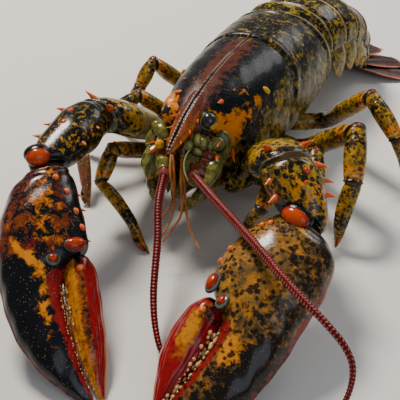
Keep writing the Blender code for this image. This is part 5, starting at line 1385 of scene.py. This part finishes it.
def carpus_marks(points, u, w):
    """The right wrist piece is blacker than the left one."""
    right = rise(-points[:, 0], -10.0, 10.0)
    dark = 0.42 + 0.2 * right + 0.15 * bump(w - 0.12, 0.1) + 0.25 * rise(w, 0.7, 0.9)
    return paint(dark, 0.5 * bump(w - 0.6, 0.35), 0.4 * rise(w, 0.95, 1.0), 0.0)


def merus_marks(points, u, w):
    """Pale grey-green near the body on the right arm, yellow with dark spots towards the elbow."""
    right = rise(-points[:, 0], -10.0, 10.0)
    dark = 0.24 + 0.2 * (1.0 - right) * (1.0 - rise(w, 0.0, 0.3)) + 0.42 * rise(w, 0.68, 0.82)
    wash = 0.42 * right * (1.0 - rise(w, 0.3, 0.55))
    return paint(dark, 0.35 * rise(w, 0.4, 0.7), 0.8 * rise(w, 0.96, 1.0), wash + 0.2 * bump(w - 0.93, 0.02))


def carpus_lumps(u, w, here):
    """Low lumps, and a furrow and a lip before the claw."""
    return (0.5 * np.sin(TAU * u * 3 + w * 9.0) * np.sin(w * 12.0) - 0.8 * bump(w - 0.9, 0.03)
            + 0.7 * bump(w - 0.96, 0.03) + 0.5 * bump(w - 0.05, 0.04))


def merus_ridge(u, w, here):
    """Low lumps, and a furrow and a lip before the elbow."""
    return 0.6 * bump(w - 0.93, 0.025) - 0.5 * bump(w - 0.87, 0.025) + 0.3 * np.sin(TAU * u * 2 + w * 7.0)


def make_arm(claw):
    """Root, upper arm and wrist piece that carry a claw, with the skins, spines and knobs between."""
    slot = "arm_shell"
    axis, inward, above = claw_frame(claw)
    wrist, elbow, shoulder, hip = (claw[k] for k in ("wrist", "elbow", "shoulder", "hip"))
    sign, letter = claw["sign"], claw["letter"]
    wide, deep = claw["girth"]
    span = wrist - elbow
    bend = CARPUS_BEND
    rows = ((*elbow, wide * 0.7, deep * 0.8), (*(elbow + span * 0.2 + bend), wide * 0.92, deep * 0.95),
            (*(elbow + span * 0.55 + bend), wide, deep),
            (*(elbow + span * 0.88 + bend * 0.5), wide * 0.92, deep * 0.86),
            (*(wrist + axis * 0.7), wide * 0.66, deep * 0.7))
    limb_piece("wrist_piece_" + letter, rows, 96, 100, ARM_LOOK, carpus_marks, slot, "carpus_" + letter,
               square=2.2, flat_start=span, flat_end=axis, relief=carpus_lumps)
    outward = outer_side(span, sign)
    upward = unit(np.cross(outward, span))
    upward = upward if upward[2] > 0 else -upward
    ahead = unit(span)
    thorns, knobs = [], []
    for along, spread, rising, long in CARPUS_SPINES:
        spot = elbow + span * along + bend + outward * (wide * spread * 0.88)
        spot = spot + upward * (deep * rising * 0.88)
        thorns.append(thorn(spot, outward * spread + upward * rising + ahead * 0.35, long, 2.3, ahead * 0.12))
    for along, spread in ((0.35, 0.25), (0.55, 0.1)):
        spot = elbow + span * along + bend + outward * (wide * spread) + upward * (deep * 0.95)
        knobs.append(ball(spot, upward, 1.9, 0.75))
    along, across, rising, size, stretch = claw["knuckle"]
    spot = wrist + axis * along + inward * across + above * rising
    beside = np.cross(above, axis)
    knobs.append(ball(spot, above * 0.8 + axis * 0.35, size, 0.78, stretch, beside))
    cuff = ball(spot - above * 1.4 - axis * 2.6, above * 0.9 - axis * 0.2, size * 1.1, 0.9, stretch * 1.02,
                beside)
    joined("knuckle_cuff_" + letter, [cuff], 40, 24, ARM_LOOK, lambda p, u, w: paint(0.8, 0.1), slot)

    back = elbow - shoulder
    head = unit(back)
    rows = ((*shoulder, 8.0, 7.5), (*(shoulder + back * 0.3 + MERUS_ARCH * 0.5), 10.5, 9.0),
            (*(shoulder + back * 0.7 + MERUS_ARCH), wide, deep * 0.95), (*elbow, wide * 0.74, deep * 0.84))
    limb_piece("upper_arm_" + letter, rows, 90, 90, ARM_LOOK, merus_marks, slot, "merus_" + letter,
               square=2.3, flat_start=head, flat_end=ahead, relief=merus_ridge)
    outward = outer_side(back, sign)
    for along, spread, rising, long in MERUS_SPINES:
        spot = shoulder + back * along + outward * (wide * spread * 0.85) + vec(0, 0, deep * rising + 1.5)
        thorns.append(thorn(spot, outward * spread + vec(0, 0, rising) + head * 0.6, long, 2.2, head * 0.1))
    rows = ((*hip, 8.0, 7.5), (*((hip + shoulder) / 2 + vec(sign * 3.0, 0, 0)), 8.5, 7.5),
            (*shoulder, 7.6, 7.0))
    limb_piece("arm_root_" + letter, rows, 50, 60, ARM_LOOK, lambda p, u, w: paint(0.5, 0.2, 0.2), slot,
               "ischium_" + letter, flat_end=head)
    rows = [(*(elbow + ahead * d), wide * 0.72, deep * 0.78) for d in (-5.0, 0.0, 5.0)]
    limb_piece("elbow_skin_" + letter, rows, 40, 30, MEMBRANE_LOOK, None, slot)
    # Knobs: amber crown, and painted shade round the foot where each meets the shell
    joined("arm_%s_knobs" % letter, knobs, 26, 16, KNOB_LOOK,
           lambda p, u, w: paint(0.5 * rise(w, 0.3, 0.5), 0.9 * (1.0 - rise(w, 0.15, 0.42)), 0.2), slot)
    joined("arm_%s_spines" % letter, thorns, 14, 12, SPINE_LOOK, tip_marks, slot)


# Walking legs: hip, turn, knee, ankle and foot, then half thickness and whether it ends in a small pincer
LEGS = (
    ("leg2_r", (-15, 37, 15), (-37, 32, 17), (-42, -10, 40), (-42, -24, 27), (-5, -38), 5.0, True),
    ("leg3_r", (-16, 55, 15), (-40, 48, 16), (-62, 28, 40), (-73, 4, 27), (-57, -17), 5.4, True),
    ("leg4_r", (-16, 76, 15), (-40, 68, 16), (-60, 50, 40), (-77, 36, 26), (-91, 30), 5.4, False),
    ("leg5_r", (-15, 98, 16), (-40, 104, 16), (-65, 78, 49), (-69, 66, 36), (-80, 61), 5.4, False),
    ("leg2_l", (15, 37, 15), (37, 31, 16), (45, 7, 32), (45, -8, 26), (34, -4), 5.0, True),
    ("leg3_l", (16, 55, 15), (40, 50, 16), (60, 30, 42), (68, 12, 30), (64, 0), 5.4, True),
    ("leg4_l", (16, 76, 15), (40, 70, 18), (77, 45, 53), (84, 22, 35), (82, 10), 6.4, False),
    ("leg5_l", (15, 98, 16), (40, 110, 17), (73, 88, 52), (94, 76, 35), (104, 76), 5.8, False),
)


def leg_marks(points, u, w):
    """Dark band near the middle of a piece, black at its far end."""
    dark = 0.3 + 0.3 * bump(w - 0.3, 0.12) + 0.45 * rise(w, 0.88, 0.97)
    return paint(dark, 0.25 + 0.35 * bump(w - 0.8, 0.1), 0.0, 0.2 * bump(w - 0.86, 0.02))


def shank_marks(points, u, w):
    """Dark band, then red and a pale tip."""
    return paint(0.34 + 0.3 * bump(w - 0.45, 0.1), 0.3 + 0.2 * rise(w, 0.6, 0.8), 0.55 * rise(w, 0.55, 0.75),
                 0.6 * rise(w, 0.95, 1.0))


def red_leg_marks(points, u, w):
    """The red leg on the right side."""
    return paint(0.25 + 0.2 * bump(w - 0.3, 0.1), 0.2, 0.75, 0.1)


def leg_rim(u, w, here):
    """Raised rim at a leg piece's far end, with a furrow before it and one near the root."""
    return 0.4 * bump(w - 0.96, 0.02) - 0.35 * bump(w - 0.92, 0.02) - 0.5 * bump(w - 0.2, 0.02)


# Height of a foot's middle over the floor, and the bristles on each leg's last piece
FOOT_HEIGHT = 0.35
LEG_HAIRS = 26
LEG_HAIR_LENGTH = 2.2


def make_leg(name, hip, turn, knee, ankle, foot, thick, pincer, hairs):
    """One walking leg in three pieces, with joint skins, knobs, a spine and bristles."""
    slot = "leg_shell"
    hip, turn, knee, ankle = (vec(*p) for p in (hip, turn, knee, ankle))
    foot = vec(foot[0], foot[1], FOOT_HEIGHT)
    cut_knee = unit(unit(knee - turn) + unit(ankle - knee))
    cut_ankle = unit(unit(ankle - knee) + unit(foot - ankle))
    down = foot - ankle
    bow = unit(np.cross(np.cross(vec(0, 0, 1), down), down)) * (-0.06 * np.linalg.norm(down))
    marks, foot_marks = (red_leg_marks, red_leg_marks) if name == "leg3_r" else (leg_marks, shank_marks)

    def rows_of(*sections):
        return [(*place, thick * wide, thick * deep) for place, wide, deep in sections]

    rows = rows_of((hip, 1.05, 1.0), (turn, 0.9, 0.95), ((turn + knee) / 2, 1.12, 0.95),
                   (turn * 0.12 + knee * 0.88, 1.08, 0.95), (knee - cut_knee * 0.1, 0.86, 0.82))
    limb_piece(name + "_upper_joint", rows, 36, 100, LEG_LOOK, marks, slot, name + "_upper", end="flat",
               flat_end=cut_knee, relief=leg_rim)
    rows = rows_of((knee + cut_knee * 0.1, 0.84, 0.8), ((knee + ankle) / 2 + vec(0, 0, 1), 0.95, 0.85),
                   (ankle - cut_ankle * 0.1, 0.78, 0.7))
    limb_piece(name + "_carpus_joint", rows, 36, 60, LEG_LOOK, marks, slot, name + "_carpus", start="flat",
               end="flat", flat_start=cut_knee, flat_end=cut_ankle, relief=leg_rim)
    rows = rows_of((ankle + cut_ankle * 0.1, 0.74, 0.68), (ankle + down * 0.3 + bow, 0.74, 0.62),
                   (ankle + down * 0.6 + bow, 0.6, 0.5), (ankle + down * 0.82, 0.36, 0.32))
    limb_piece(name + "_shank", rows + [(*foot, 0.45, 0.35)], 36, 80, LEG_LOOK, foot_marks, slot,
               name + "_foot", start="flat", end="point", flat_start=cut_ankle)
    skins = [ball(knee, cut_knee, thick * 0.78, 0.8), ball(ankle, cut_ankle, thick * 0.7, 0.8)]
    joined(name + "_joint_skins", skins, 24, 16, MEMBRANE_LOOK, None, slot)
    up = vec(0, 0, 1)
    knobs = [ball(knee + up * thick * 0.55, up, thick * 0.34, 0.7),
             ball(ankle + unit(ankle - foot) * thick * 0.3 + up * thick * 0.3, up, thick * 0.28, 0.7)]
    joined(name + "_joint_knobs", knobs, 18, 12, KNOB_LOOK, None, slot)
    spike = thorn(turn * 0.07 + knee * 0.93 + up * thick * 0.8, unit(knee - turn) + up * 0.8, 3.2, 1.5)
    joined(name + "_spine", [spike], 12, 10, SPINE_LOOK, tip_marks, slot)
    if pincer:
        across = unit(np.cross(down, up)) * (thick * 0.3)
        rows = ((*(ankle + down * 0.6), thick * 0.3, thick * 0.3),
                (*(ankle + down * 0.8 + across * 1.5), 1.7, 1.5),
                (*(ankle + down * 0.95 + across * 1.1), 0.5, 0.5))
        limb_piece(name + "_small_finger", rows, 24, 40, LEG_LOOK, shank_marks, slot, end="point")
    side = unit(np.cross(down, vec(0.3, 0.2, 1)))
    other = unit(np.cross(down, side))
    for k in range(LEG_HAIRS):
        t = 0.55 + 0.42 * k / (LEG_HAIRS - 1.0)
        turned = RNG.uniform(0, TAU)
        out = side * math.cos(turned) + other * math.sin(turned)
        lean = unit(out * 0.5 + unit(down))
        half = thick * float(np.interp(t, (0.55, 0.82, 1.0), (0.55, 0.3, 0.1)))
        root = ankle + down * t + bow * (1.0 - abs(t - 0.5)) + out * half
        if root[2] + lean[2] * LEG_HAIR_LENGTH > 0.3:
            hairs.append(thorn(root, lean, LEG_HAIR_LENGTH, 0.2))


def make_stage():
    """Plain pale floor, 12 m wide."""
    mesh, _, _ = flat_grid("floor", 4, 4, size=6.0)
    mat, tree, shader = blank("pale_studio_floor")
    fill(tree, shader, {"Base Color": linear("D9D7D2"), "Roughness": 0.85})
    mesh.materials.append(mat)
    put("floor", mesh)


# Lights: name, place and aim in metres, diameter, watts and colour
LIGHTS = (("key_light", (-0.55, 0.25, 1.05), (0, 0, 0.03), 0.34, 20.0, "FFF6EA"),
          ("fill_light", (0.8, -0.7, 0.7), (0, 0, 0.03), 0.9, 3.2, "EAF1FF"),
          ("rim_light", (0.3, 1.0, 0.8), (0, 0, 0.05), 0.6, 4.0, "FFFFFF"))
WORLD_COLOUR, WORLD_STRENGTH = "E6E8EC", 0.3
# Camera: width of view, turn to the animal's left and lift in degrees, and place from ORIGIN in metres
VIEW_ANGLE = 30.0
CAMERA_TURN, CAMERA_LIFT = 26.0, 36.0
CAMERA_PLACE = (0.1524, -0.3001, 0.2573)


def make_lights():
    """Large soft lamps and a dim even world."""
    for name, place, aim, size, watts, hexcode in LIGHTS:
        light = bpy.data.lights.new(name, "AREA")
        light.shape = "DISK"
        light.size = size
        light.energy = watts
        light.color = linear(hexcode)[:3]
        lamp = put(name, light)
        lamp.location = place
        lamp.rotation_euler = (Vector(aim) - Vector(place)).to_track_quat("-Z", "Y").to_euler()
    world = bpy.data.worlds.new("studio")
    world.use_nodes = True
    fill(world.node_tree, world.node_tree.nodes["Background"],
         {"Color": linear(WORLD_COLOUR), "Strength": WORLD_STRENGTH})
    bpy.context.scene.world = world


def make_camera():
    """A look from the front, a little from its left and above."""
    camera = bpy.data.cameras.new("camera")
    camera.sensor_fit = "HORIZONTAL"
    camera.angle = math.radians(VIEW_ANGLE)
    camera.clip_start = 0.01
    camera.dof.use_dof = False
    holder = put("camera", camera)
    turn, lift = math.radians(CAMERA_TURN), math.radians(CAMERA_LIFT)
    back = Vector((math.sin(turn) * math.cos(lift), -math.cos(turn) * math.cos(lift), math.sin(lift)))
    right = Vector((math.cos(turn), math.sin(turn), 0.0))
    place = Matrix((right, back.cross(right), back)).transposed().to_4x4()
    place.translation = Vector(ORIGIN) + Vector(CAMERA_PLACE)
    holder.matrix_world = place
    bpy.context.scene.camera = holder


make_carapace()
make_eyes()
make_hood()
RING_FRAMES = abdomen_frames()
make_abdomen(RING_FRAMES)
make_fan(RING_FRAMES)
make_feelers()
make_face()
make_mouth()
make_underside()
for CLAW in (CUTTER, CRUSHER):
    make_hand(CLAW)
    make_arm(CLAW)
LEG_BRISTLES = []
for LEG in LEGS:
    make_leg(*LEG, LEG_BRISTLES)
joined("leg_bristles", LEG_BRISTLES, *HAIR_GRID, HAIR_LOOK, None, "leg_shell")
make_stage()
make_lights()
make_camera()
